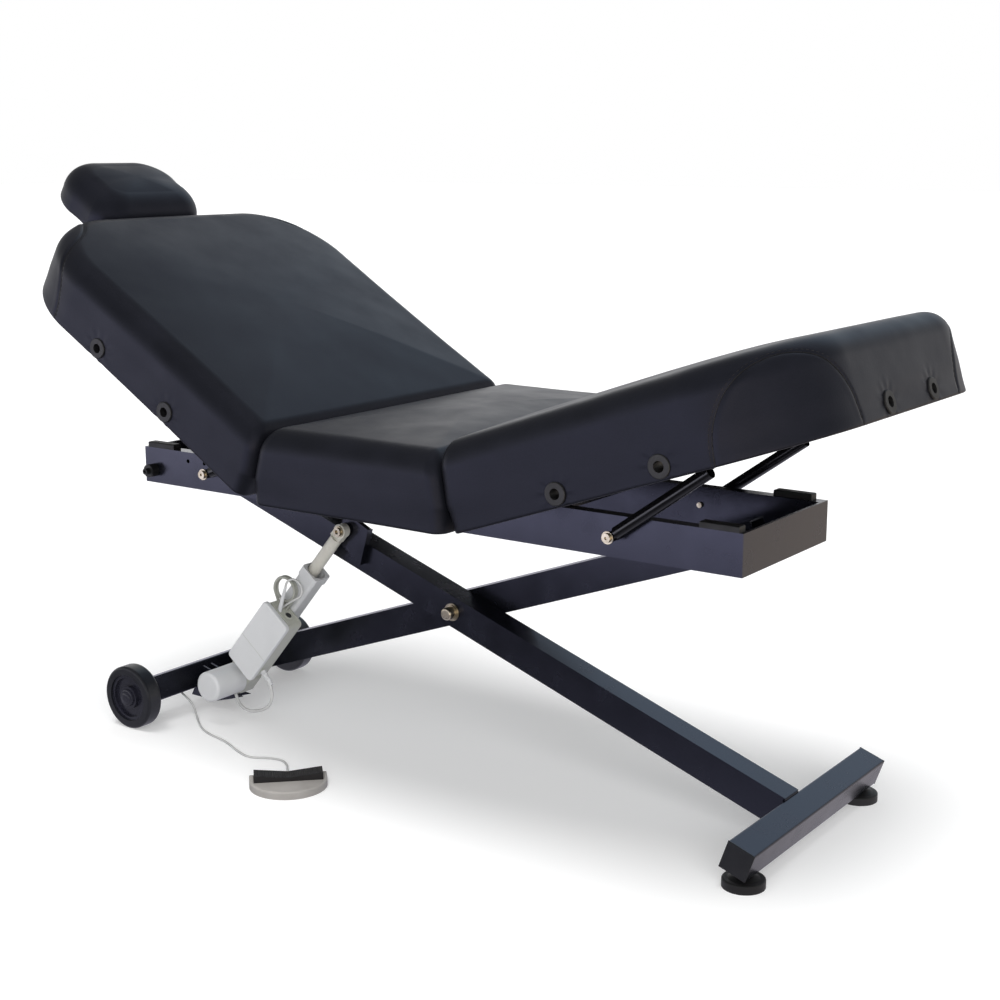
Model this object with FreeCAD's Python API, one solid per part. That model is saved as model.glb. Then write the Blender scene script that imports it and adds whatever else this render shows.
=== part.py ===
import FreeCAD, Part
import math
import os

V = FreeCAD.Vector
X_AXIS = V(1, 0, 0)
Y_AXIS = V(0, 1, 0)
Z_AXIS = V(0, 0, 1)

# Padded top, seen from the side it lies along X and is hinged twice
section_width = 750.0
seat_length = 425.0
seat_middle_x = 77.5
back_length = 716.0
leg_length = 662.0
back_tilt = 31.4
leg_tilt = 19.1
back_tilt_most = 50.0
leg_tilt_most = 30.0
seat_pad_height = 97.0
back_pad_height = 89.0
leg_pad_height = 105.0
outer_corner_radius = 185.0
inner_corner_radius = 24.0
pad_shoulder = 45.0
pad_crown = 7.0
pad_side_draw = 4.0
board_thickness = 13.5
rail_thickness = 20.0
rail_end_gap = 16.0
rail_joint_radius = 5.0
skirt_depth_below_hinge = 42.0
skirt_thickness = 3.0
skirt_inset = 1.5
seat_clearance = 0.3
overrun = 5.0

# Butt hinges between the sections
hinge_height = 577.0
hinge_offset_y = 280.0
hinge_width = 80.0
hinge_leaf_thickness = 3.0
hinge_leaf_reach = 45.0
knuckle_radius = 6.0
hinge_pin_radius = 2.5
hinge_running_gap = 0.05
knuckle_side_gap = 0.5
hinge_end_gap = 8.0

# Sockets in the wooden rails, for posts of accessories
socket_bore_radius = 9.0
grommet_flange_radius = 19.0
grommet_flange_thickness = 3.5
grommet_sleeve_radius = 12.0
socket_above_skirt_edge = 21.0
back_socket_near = 230.0
back_socket_far = 430.0
leg_socket_near = 223.0
leg_socket_far = 415.0
end_socket_spacing = 176.0

# Headrest
head_length = 200.0
head_width = 280.0
head_thickness = 90.0
head_gap = 12.0
head_rise = 2.0
head_corner_radius = 70.0
head_shoulder = 38.0
head_board_thickness = 12.0
head_post_length = 230.0
head_yoke_size = 22.0
head_post_slack = 0.06
head_hinge_radius = 4.5
head_hinge_length = 60.0

# Steel frame under the seat
frame_left_x = -633.0
frame_right_x = 720.0
frame_width = 314.0
frame_depth = 72.0
frame_below_hinge = 22.0
frame_rail_width = 25.0
frame_wall = 2.5
end_plate_thickness = 5.0
cross_member_width = 40.0
right_member_x = 312.5
batten_width = 22.0
ear_thickness = 6.0
bumper_length = 72.0
bumper_width = 20.0
bumper_height = 11.0
peg_radius = 13.0
peg_length = 18.0
peg_screw_out = 9.0
peg_from_end = 25.0
peg_below_top = 46.0
rail_hole_places = (117.0, 162.0, 207.0)
rail_hole_below_top = 18.0
rail_hole_radius = 4.0

# Scissor lift
arm_width = 50.0
arm_depth = 58.0
arm_wall = 3.0
arm_gap = 6.0
bar_size = 50.0
bar_wall = 3.0
foot_bar_length = 512.0
foot_bar_x = 775.0
foot_bar_z = 54.0
pivot_x = 69.75
wheel_axle_x = -580.0
wheel_radius = 64.0
wheel_width = 35.0
wheel_face_y = 247.5
wheel_middle_y = -36.0
top_pin_x = 640.0
top_pin_in_frame = 20.37
arm_end_past_pin = 22.0
pivot_bolt_radius = 8.0
pivot_bush_radius = 14.0
top_pin_radius = 6.0
roller_radius = 15.0
roller_width = 18.0
roller_axle_radius = 6.0
guide_wall = 3.0
guide_length = 220.0
guide_running_gap = 0.3
running_gap = 0.05
side_gap = 1.0

# Levelling glides
glide_radius = 35.5
glide_rim_height = 15.0
glide_dome_height = 4.5
glide_nut_height = 2.8
glide_offset_y = 222.0
glide_ball_radius = 8.0
glide_ball_height = 17.0
glide_stud_radius = 5.0
glide_from_bar_x = -3.0

# Actuator
actuator_y = -80.0
actuator_foot_x = -482.0
actuator_foot_z = 50.0
actuator_eye_x = -178.0
actuator_eye_off_arm = 41.284
actuator_rest_lean = 0.012
actuator_column_half = 20.5
actuator_column_corner = 7.0
actuator_column_bore = 19.2
actuator_column_end = 370.0
actuator_column_start = 66.0
actuator_collar_half = 22.5
actuator_collar_length = 20.0
actuator_rod_radius = 12.5
actuator_rod_neck = 20.0
actuator_rod_length = 232.0
actuator_eye_radius = 14.0
actuator_eye_width = 16.0
actuator_bolt_radius = 5.0
actuator_foot_radius = 15.0
motor_radius = 31.0
motor_along = 43.0
motor_front_y = -183.0
gear_half_height = 29.0
gear_length = 50.0
gear_half_width = 22.0
box_length = 167.0
box_start = 111.0
box_width = 77.0
box_left = -23.0
box_depth = 36.0
box_cover_depth = 9.0
box_front_y = -150.0
box_corner_radius = 9.0

# Bracket on the long arm, its outline from the actuator's eye
lift_plate_outline = ((-4.0, 34.0), (54.0, 7.0), (33.0, -65.0), (9.0, -60.0), (12.0, -47.0),
                      (-22.0, -28.0))
lift_plate_face = -67.0

# Lower edge of the plates under the wheel bar, its outline from the actuator's foot
foot_plate_outline = ((18.0, -9.0), (36.0, -9.5), (3.0, -21.0), (-38.0, -33.0), (-112.0, -33.0))

# Gas springs
spring_tube_radius = 11.0
spring_tube_bore = 9.9
spring_rod_radius = 4.0
spring_eye_radius = 9.0
spring_eye_width = 18.0
spring_neck_radius = 7.0
spring_tube_start = 12.5
spring_plug_depth = 8.0
spring_bolt_radius = 5.0
spring_beside_frame = 15.0
leg_spring_foot_x = 486.0
back_spring_foot_x = -443.0
spring_foot_below_top = 33.0
leg_spring_along = 438.8
leg_spring_up = -31.0
back_spring_along = 102.0
back_spring_up = -30.0
leg_spring_lean = -0.016
back_spring_lean = -0.018
leg_spring_tube = 222.0
leg_spring_rod = 190.0
back_spring_tube = 183.0
back_spring_rod = 165.0
bracket_thickness = 4.0
bracket_width = 30.0

# Pedal
pedal_x = -125.5
pedal_y = -306.0
pedal_turn = -45.5
pedal_width = 143.0
pedal_depth = 98.0
pedal_height = 15.0
treadle_width = 138.0
treadle_depth = 38.0
treadle_rise = 12.0
treadle_pin_radius = 3.0
boot_length = 14.0
boot_radius = 5.0
cord_radius = 2.25
cord_hole_radius = 8.0

# Sizes worked out from the driving ones
half_width = section_width / 2
seat_left_x = seat_middle_x - seat_length / 2
seat_right_x = seat_middle_x + seat_length / 2
frame_top = hinge_height - frame_below_hinge
frame_bottom = frame_top - frame_depth
board_top = knuckle_radius / 2
board_bottom = board_top - board_thickness
half_opening_back = math.radians(back_tilt_most / 2)
half_opening_leg = math.radians(leg_tilt_most / 2)
rail_outside = half_width - skirt_inset - skirt_thickness - seat_clearance
top_pin_z = frame_bottom + top_pin_in_frame
pivot_share = (pivot_x - wheel_axle_x) / (top_pin_x - wheel_axle_x)
pivot_z = wheel_radius + (top_pin_z - wheel_radius) * pivot_share
long_arm_slope = math.atan2(pivot_z - foot_bar_z, foot_bar_x - pivot_x)
wheel_arm_slope = math.atan2(pivot_z - wheel_radius, pivot_x - wheel_axle_x)
glide_x = foot_bar_x + glide_from_bar_x
scissor_ratio = (glide_x - pivot_x) / (pivot_x - wheel_axle_x)
roller_x = pivot_x - (top_pin_x - pivot_x) * scissor_ratio
roller_z = pivot_z + (pivot_x - roller_x) * math.tan(long_arm_slope)
guide_top = roller_z + roller_radius + guide_running_gap + guide_wall
long_arm_middle_y = -(arm_gap + arm_width / 2)
actuator_eye_z = (pivot_z + (pivot_x - actuator_eye_x) * math.tan(long_arm_slope)
                  + actuator_eye_off_arm)
spring_offset_y = frame_width / 2 + spring_beside_frame


def box(x0, x1, y0, y1, z0, z1):
    """A block between two corners."""
    return Part.makeBox(x1 - x0, y1 - y0, z1 - z0, V(x0, y0, z0))


def rod(centre, axis, radius, length):
    """A round bar that starts at a point and runs along an axis."""
    return Part.makeCylinder(radius, length, V(*centre), axis)


def pipe(centre, axis, outside, inside, length):
    """A round tube that starts at a point and runs along an axis."""
    return rod(centre, axis, outside, length).cut(rod(centre, axis, inside, length))


def across(x, z, radius, y0, y1):
    """A round bar along Y."""
    return rod((x, y0, z), Y_AXIS, radius, y1 - y0)


def across_pipe(x, z, outside, inside, y0, y1):
    """A round tube along Y."""
    return pipe((x, y0, z), Y_AXIS, outside, inside, y1 - y0)


def side_plate(points, y0, y1):
    """A flat plate with its outline in the XZ plane."""
    corners = [V(x, y0, z) for x, z in points]
    face = Part.Face(Part.makePolygon(corners + corners[:1]))
    return face.extrude(V(0, y1 - y0, 0))


def mirrored_y(shape):
    """The same shape on the other side of the middle plane."""
    return shape.mirror(V(0, 0, 0), Y_AXIS)


def moved_y(shape, distance):
    """A copy of a shape, moved along Y."""
    copy = shape.copy()
    copy.translate(V(0, distance, 0))
    return copy


def both_sides(shape):
    """A shape and its mirror image, as two solids."""
    return Part.makeCompound([shape, mirrored_y(shape)])


def turned(shape, x, z, radians):
    """A shape turned in the XZ plane; positive lifts the +X side."""
    copy = shape.copy()
    copy.rotate(V(x, 0, z), Y_AXIS, -math.degrees(radians))
    return copy


def solids(*shapes):
    """All the solids of some shapes in one compound."""
    return Part.makeCompound([solid for shape in shapes for solid in shape.Solids])


def export(name, shape):
    """Write one node and print its size."""
    shape.exportStep("parts/" + name + ".step")
    print(name, len(shape.Solids), "solids", round(shape.Volume), shape.isValid())


def plan_wire(x0, x1, half, r0, r1, draw, z):
    """Plan outline: two ends, two sides that draw in a little, four round corners."""
    diagonal = math.sqrt(0.5)
    middle = (x0 + r0 + x1 - r1) / 2

    def corner(cx, cy, r, sx, sy, flip):
        start = V(cx + sx * r, cy, z)
        bend = V(cx + sx * r * diagonal, cy + sy * r * diagonal, z)
        end = V(cx, cy + sy * r, z)
        points = (end, bend, start) if flip else (start, bend, end)
        return Part.Arc(*points).toShape()

    def side(sy, flip):
        start = V(x1 - r1, sy * half, z)
        bend = V(middle, sy * (half - draw), z)
        end = V(x0 + r0, sy * half, z)
        points = (end, bend, start) if flip else (start, bend, end)
        return Part.Arc(*points).toShape()

    edges = [
        corner(x1 - r1, half - r1, r1, 1, 1, False),
        side(1, False),
        corner(x0 + r0, half - r0, r0, -1, 1, True),
        Part.LineSegment(V(x0, half - r0, z), V(x0, r0 - half, z)).toShape(),
        corner(x0 + r0, r0 - half, r0, -1, -1, False),
        side(-1, True),
        corner(x1 - r1, r1 - half, r1, 1, -1, True),
        Part.LineSegment(V(x1, r1 - half, z), V(x1, half - r1, z)).toShape(),
    ]
    return Part.Wire(edges)


def plan_block(x0, x1, half, r0, r1, z0, z1):
    """A flat block with the plan outline of a section."""
    draw = pad_side_draw / 2
    face = Part.Face(plan_wire(x0, x1, half, r0, r1, draw, z0))
    return face.extrude(V(0, 0, z1 - z0))


def shoulder_levels(height, shoulder, crown):
    """Heights above the underside with how far each lies inside the outline."""
    steps = 5
    turn = math.pi / 2 / steps
    levels = [(0.0, crown / 2), (height / 4, 0.0)]
    for step in range(steps):
        angle = step * turn
        up = height - crown - shoulder + shoulder * math.sin(angle)
        levels.append((up, shoulder * (1 - math.cos(angle))))
    levels.append((height - crown / 3, shoulder * 1.6))
    levels.append((height, shoulder * 2.2))
    return levels


def cushion(x0_at, x1_at, half, r0, r1, bottom, height, shoulder):
    """A crowned pad; its two ends may lean with the height above the hinge."""
    wires = []
    for up, inset in shoulder_levels(height, shoulder, pad_crown):
        z = bottom + up
        corner0 = max(r0 - inset / 2, r0 / 2)
        corner1 = max(r1 - inset / 2, r1 / 2)
        wires.append(plan_wire(x0_at(z, inset), x1_at(z, inset), half - inset,
                               corner0, corner1, pad_side_draw, z))
    return Part.makeLoft(wires, True, True)


def wedge(half_opening):
    """How far a pad's end stands back from the hinge at each height."""
    return lambda z, inset: hinge_end_gap + max(z, 0) * math.tan(half_opening)


def hinge_leaf(side, own_knuckles):
    """Leaf of a butt hinge in hinge coordinates; side is -1 or 1 along X."""
    half = hinge_width / 2
    knuckle = hinge_width / 3
    near = knuckle_radius + side_gap
    x0, x1 = sorted((side * near, side * hinge_leaf_reach))
    top = knuckle_radius
    leaf = box(x0, x1, -half, half, top - hinge_leaf_thickness, top)
    for index in own_knuckles:
        y0 = -half + index * knuckle + knuckle_side_gap
        y1 = -half + (index + 1) * knuckle - knuckle_side_gap
        x0, x1 = sorted((0, side * near))
        leaf = leaf.fuse(box(x0, x1, y0, y1, top - hinge_leaf_thickness, top))
        leaf = leaf.fuse(across(0, 0, knuckle_radius, y0, y1))
    return leaf.removeSplitter()


def hinge_bore(leaf, radius):
    """Bore the pin hole through a leaf."""
    return leaf.cut(across(0, 0, radius, -hinge_width, hinge_width))


def leaf_recess(side):
    """Room in a pad's underside for a leaf."""
    half = hinge_width / 2 + seat_clearance
    reach = hinge_leaf_reach + seat_clearance
    x0, x1 = sorted((0, side * reach))
    return box(x0, x1, -half, half, 0, knuckle_radius + seat_clearance)


def at_hinges(shape):
    """The shape at the near and the far hinge."""
    copies = []
    for side in (-1, 1):
        copy = shape.copy()
        copy.translate(V(0, side * hinge_offset_y, 0))
        copies.append(copy)
    return copies


def grommet(depth):
    """Ring with a sleeve, mouth at the origin facing +Z, sleeve going down."""
    flange = rod((0, 0, 0), Z_AXIS, grommet_flange_radius, grommet_flange_thickness)
    sleeve = rod((0, 0, -depth), Z_AXIS, grommet_sleeve_radius, depth)
    bore = rod((0, 0, -depth - overrun), Z_AXIS, socket_bore_radius,
               depth + grommet_flange_thickness + 2 * overrun)
    ring = flange.fuse(sleeve).cut(bore).removeSplitter()
    rim = [e for e in ring.Edges if abs(e.BoundBox.ZMin - grommet_flange_thickness) < seat_clearance
           and e.BoundBox.XLength > grommet_flange_radius * 2 - overrun]
    return ring.makeFillet(grommet_flange_thickness / 2, rim)


def socket_places(along, end_x):
    """Where the grommets of a section sit, each with its outward direction."""
    height = socket_above_skirt_edge - skirt_depth_below_hinge
    face = half_width - skirt_inset - pad_side_draw / 2
    places = []
    for x in along:
        for side in (-1, 1):
            places.append(((x, side * face, height), V(0, side, 0)))
    for side in (-1, 1):
        places.append(((end_x, side * end_socket_spacing / 2, height), X_AXIS))
    return places


def placed_facing(shape, place, direction):
    """Turn a shape's +Z to a direction and move it to a place."""
    copy = shape.copy()
    copy.Placement = FreeCAD.Placement(V(*place), FreeCAD.Rotation(Z_AXIS, direction))
    return copy


def section(length, pad_height, half_opening, along):
    """One tilting section in hinge coordinates: +X away from the hinge, Z up."""
    end_x = length - skirt_inset
    inner_end = end_x - skirt_thickness - seat_clearance
    bottom = -skirt_depth_below_hinge
    r_out = outer_corner_radius
    r_in = inner_corner_radius
    frame_room = frame_width / 2 + spring_tube_radius * 2 + overrun * 2
    knuckle_room = -knuckle_radius - overrun

    board = plan_block(hinge_end_gap, inner_end, rail_outside, r_in, r_out, board_bottom, board_top)

    outer = plan_block(rail_end_gap, inner_end, rail_outside, r_in, r_out, bottom, board_bottom)
    inner = plan_block(rail_end_gap + rail_thickness, inner_end - rail_thickness,
                       rail_outside - rail_thickness, r_in, r_out - rail_thickness,
                       bottom - overrun, board_bottom + overrun)
    ring = outer.cut(inner)
    straight_start = rail_end_gap + rail_thickness * 2
    straight_end = inner_end - r_out
    ring = ring.cut(box(0, straight_start, -frame_room, frame_room,
                        bottom - overrun, board_bottom + overrun))
    rails = []
    for x0, x1 in ((0, straight_start), (straight_start, straight_end)):
        part = ring.common(box(x0, x1, -section_width, section_width, bottom * 2, board_top))
        rails.extend(part.Solids)
    end_part = ring.common(box(straight_end, length, -section_width, section_width,
                               bottom * 2, board_top))
    corner_y = rail_outside - r_out
    for y0, y1 in ((-section_width, -corner_y), (-corner_y, corner_y), (corner_y, section_width)):
        rails.extend(end_part.common(box(0, length, y0, y1, bottom * 2, board_top)).Solids)
    rails = Part.makeCompound(rails)

    skirt = plan_block(skirt_inset, end_x, half_width - skirt_inset, r_in, r_out, bottom, board_top)
    hollow = plan_block(skirt_inset + skirt_thickness, end_x - skirt_thickness,
                        half_width - skirt_inset - skirt_thickness, r_in - skirt_thickness,
                        r_out - skirt_thickness, bottom - overrun, board_top + overrun)
    skirt = skirt.cut(hollow)
    skirt = skirt.cut(box(0, hinge_end_gap, -section_width, section_width, knuckle_room,
                          board_top + overrun))
    skirt = skirt.cut(box(0, hinge_end_gap, -frame_room, frame_room, bottom - overrun,
                          board_top + overrun))

    pad_bottom = board_top + seat_clearance
    pad = cushion(wedge(half_opening), lambda z, inset: length - inset, half_width, r_in, r_out,
                  pad_bottom, pad_height, pad_shoulder)
    for recess in at_hinges(leaf_recess(1)):
        pad = pad.cut(recess)

    places = socket_places(along, end_x)
    rings = []
    for place, direction in places:
        depth = rail_thickness + skirt_thickness + pad_side_draw
        tool = placed_facing(rod((0, 0, -depth * 2), Z_AXIS, grommet_sleeve_radius, depth * 3),
                             place, direction)
        seat = placed_facing(rod((0, 0, 0), Z_AXIS, grommet_flange_radius + seat_clearance, depth),
                             place, direction)
        rails = rails.cut(tool)
        board = board.cut(tool)
        skirt = skirt.cut(tool).cut(seat)
        rings.append(placed_facing(grommet(depth), place, direction))
    return {"board": board, "rails": rails, "skirt": skirt, "pad": pad,
            "grommets": Part.makeCompound(rings)}


def spring_bracket(along, up):
    """Two ears under a board that hold a gas spring's upper bolt."""
    ears = []
    half = spring_eye_width / 2
    for side in (-1, 1):
        y0, y1 = sorted((side * (half + side_gap), side * (half + side_gap + bracket_thickness)))
        ear = box(along - bracket_width / 2, along + bracket_width / 2, y0, y1,
                  up - spring_eye_radius, board_bottom)
        ears.append(ear)
    top = box(along - bracket_width / 2, along + bracket_width / 2,
              -half - side_gap - bracket_thickness * 3, half + side_gap + bracket_thickness * 3,
              board_bottom - bracket_thickness, board_bottom)
    bracket = ears[0].fuse(ears[1]).fuse(top).removeSplitter()
    pin_half = half + side_gap + bracket_thickness
    pin = across(along, up, spring_bolt_radius, -pin_half, pin_half)
    return bracket.cut(pin), pin


def spring_brackets(along, up):
    """Brackets and pins for both gas springs of a section."""
    brackets = []
    pins = []
    for side in (-1, 1):
        bracket, pin = spring_bracket(along, up)
        for shape, group in ((bracket, brackets), (pin, pins)):
            shape.translate(V(0, side * spring_offset_y, 0))
            group.append(shape)
    return Part.makeCompound(brackets), Part.makeCompound(pins)


def to_leg(shape):
    """From hinge coordinates to the raised leg rest."""
    copy = shape.copy()
    copy.translate(V(seat_right_x, 0, hinge_height))
    return turned(copy, seat_right_x, hinge_height, math.radians(leg_tilt))


def to_back(shape):
    """From hinge coordinates to the raised backrest."""
    copy = shape.mirror(V(0, 0, 0), X_AXIS)
    copy.translate(V(seat_left_x, 0, hinge_height))
    return turned(copy, seat_left_x, hinge_height, -math.radians(back_tilt))


def make_tilting_sections():
    """Backrest, leg rest and what is fixed to them."""
    back = section(back_length, back_pad_height, half_opening_back,
                   (back_socket_near, back_socket_far))
    leg = section(leg_length, leg_pad_height, half_opening_leg,
                  (leg_socket_near, leg_socket_far))
    leaf = hinge_bore(hinge_leaf(1, (1,)), hinge_pin_radius + hinge_running_gap)
    leaves = Part.makeCompound(at_hinges(leaf))
    jobs = (("back", back, to_back, back_spring_along, back_spring_up),
            ("leg", leg, to_leg, leg_spring_along, leg_spring_up))
    for name, parts, place, along, up in jobs:
        for piece in ("skirt", "pad", "grommets"):
            export(name + "_" + piece, place(parts[piece]))
        export(name + "_deck", place(solids(parts["board"], parts["rails"])))
        export(name + "_fittings", place(solids(leaves, *spring_brackets(along, up))))


def make_seat():
    """The fixed section: board, rails, skirt, cushion, hinge leaves and pins."""
    x0 = hinge_end_gap
    x1 = seat_length - hinge_end_gap
    bottom = -skirt_depth_below_hinge
    r_in = inner_corner_radius
    frame_room = frame_width / 2 + spring_tube_radius * 2 + overrun * 2
    knuckle_room = -knuckle_radius - overrun

    def place(shape):
        copy = shape.copy()
        copy.translate(V(seat_left_x, 0, hinge_height))
        return copy

    board = plan_block(x0, x1, rail_outside, r_in, r_in, board_bottom, board_top)
    rail_x0 = rail_end_gap
    rail_x1 = seat_length - rail_end_gap
    ring = plan_block(rail_x0, rail_x1, rail_outside, r_in, r_in, bottom, board_bottom)
    ring = ring.cut(plan_block(rail_x0 + rail_thickness, rail_x1 - rail_thickness,
                               rail_outside - rail_thickness, rail_joint_radius,
                               rail_joint_radius, bottom - overrun, board_bottom + overrun))
    ring = ring.cut(box(0, seat_length, -frame_room, frame_room, bottom - overrun,
                        board_bottom + overrun))
    rails = []
    inner_x0 = rail_x0 + rail_thickness
    inner_x1 = rail_x1 - rail_thickness
    for a, b in ((0, inner_x0), (inner_x0, inner_x1), (inner_x1, seat_length)):
        rails.extend(ring.common(box(a, b, -section_width, section_width, bottom * 2,
                                     board_top)).Solids)

    skirt = plan_block(skirt_inset, seat_length - skirt_inset, half_width - skirt_inset,
                       r_in, r_in, bottom, board_top)
    skirt = skirt.cut(plan_block(skirt_inset + skirt_thickness,
                                 seat_length - skirt_inset - skirt_thickness,
                                 half_width - skirt_inset - skirt_thickness,
                                 r_in - skirt_thickness, r_in - skirt_thickness,
                                 bottom - overrun, board_top + overrun))
    for a, b in ((0, hinge_end_gap), (seat_length - hinge_end_gap, seat_length)):
        skirt = skirt.cut(box(a, b, -section_width, section_width, knuckle_room,
                              board_top + overrun))
        skirt = skirt.cut(box(a, b, -frame_room, frame_room, bottom - overrun,
                              board_top + overrun))

    back_end = wedge(half_opening_back)
    leg_end = wedge(half_opening_leg)
    pad = cushion(back_end, lambda z, inset: seat_length - leg_end(z, inset), half_width,
                  r_in, r_in, board_top + seat_clearance, seat_pad_height, pad_shoulder)
    leaf = hinge_bore(hinge_leaf(1, (0, 2)), hinge_pin_radius)
    other = hinge_bore(hinge_leaf(-1, (0, 2)), hinge_pin_radius)
    other.translate(V(seat_length, 0, 0))
    recess = leaf_recess(-1)
    recess.translate(V(seat_length, 0, 0))
    for tool in at_hinges(leaf_recess(1)) + at_hinges(recess):
        pad = pad.cut(tool)
    pin = across(0, 0, hinge_pin_radius, -hinge_width / 2, hinge_width / 2)
    pins = [pin, pin.copy()]
    pins[1].translate(V(seat_length, 0, 0))

    batten = box(x0 * 2, seat_length - x0 * 2, frame_width / 2 - batten_width, frame_width / 2,
                 -frame_below_hinge, board_bottom)
    export("seat_deck", place(solids(board, *rails, both_sides(batten))))
    export("seat_skirt", place(skirt))
    export("seat_pad", place(pad))
    export("seat_hinge_leaves", place(solids(*at_hinges(leaf), *at_hinges(other))))
    export("hinge_pins", place(solids(*at_hinges(pins[0]), *at_hinges(pins[1]))))


def make_headrest():
    """Posts that slide in the head end, a yoke, a tilting board and its cushion."""
    socket_z = socket_above_skirt_edge - skirt_depth_below_hinge
    post_radius = socket_bore_radius - head_post_slack
    start = back_length + head_gap
    yoke_x0 = start + head_length / 3
    yoke_x1 = yoke_x0 + head_yoke_size
    half_spacing = end_socket_spacing / 2
    post_start = yoke_x0 - head_post_length
    hinge_z = socket_z + head_yoke_size / 2 + head_hinge_radius
    hinge_x = (yoke_x0 + yoke_x1) / 2
    bottom = head_rise

    post = rod((post_start, half_spacing, socket_z), X_AXIS, post_radius, head_post_length)
    yoke = box(yoke_x0, yoke_x1, -half_spacing - head_yoke_size / 2,
               half_spacing + head_yoke_size / 2, socket_z - head_yoke_size / 2,
               socket_z + head_yoke_size / 2)
    half_hinge = head_hinge_length / 2
    ear = head_hinge_length / 4
    lugs = []
    for side in (-1, 1):
        y0, y1 = sorted((side * half_hinge, side * (half_hinge - ear)))
        lug = across(hinge_x, hinge_z, head_hinge_radius, y0, y1)
        foot = box(hinge_x - head_hinge_radius, hinge_x + head_hinge_radius, y0, y1,
                   socket_z + head_yoke_size / 2, hinge_z)
        lugs.append(lug.fuse(foot).cut(across(hinge_x, hinge_z, hinge_pin_radius, y0, y1)))
    yoke = yoke.fuse(lugs[0]).fuse(lugs[1]).removeSplitter()
    pin = across(hinge_x, hinge_z, hinge_pin_radius, -half_hinge, half_hinge)

    board_z = bottom + head_board_thickness
    board = plan_block(start + head_gap, start + head_length - head_gap,
                       head_width / 2 - head_gap, head_corner_radius / 2, head_corner_radius,
                       bottom, board_z)
    middle = half_hinge - ear - side_gap
    barrel = across(hinge_x, hinge_z, head_hinge_radius, -middle, middle)
    barrel = barrel.fuse(box(hinge_x - head_hinge_radius, hinge_x + head_hinge_radius,
                             -middle, middle, hinge_z, bottom))
    barrel = barrel.fuse(box(hinge_x - head_hinge_radius * 3, hinge_x + head_hinge_radius * 3,
                             -half_hinge, half_hinge, bottom - bracket_thickness / 2, bottom))
    barrel = barrel.cut(across(hinge_x, hinge_z, hinge_pin_radius + hinge_running_gap,
                               -half_hinge, half_hinge)).removeSplitter()
    pad = cushion(lambda z, inset: start + inset / 2, lambda z, inset: start + head_length - inset,
                  head_width / 2, head_corner_radius / 2, head_corner_radius,
                  bottom, head_thickness, head_shoulder)
    pad = pad.cut(plan_block(start + head_gap - seat_clearance,
                             start + head_length - head_gap + seat_clearance,
                             head_width / 2 - head_gap + seat_clearance,
                             head_corner_radius / 2, head_corner_radius,
                             bottom - overrun, board_z + seat_clearance))
    export("headrest_posts", to_back(both_sides(post)))
    export("headrest_yoke", to_back(solids(yoke.cut(both_sides(post)), pin)))
    export("headrest_board", to_back(solids(board, barrel)))
    export("headrest_pad", to_back(pad))


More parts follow.
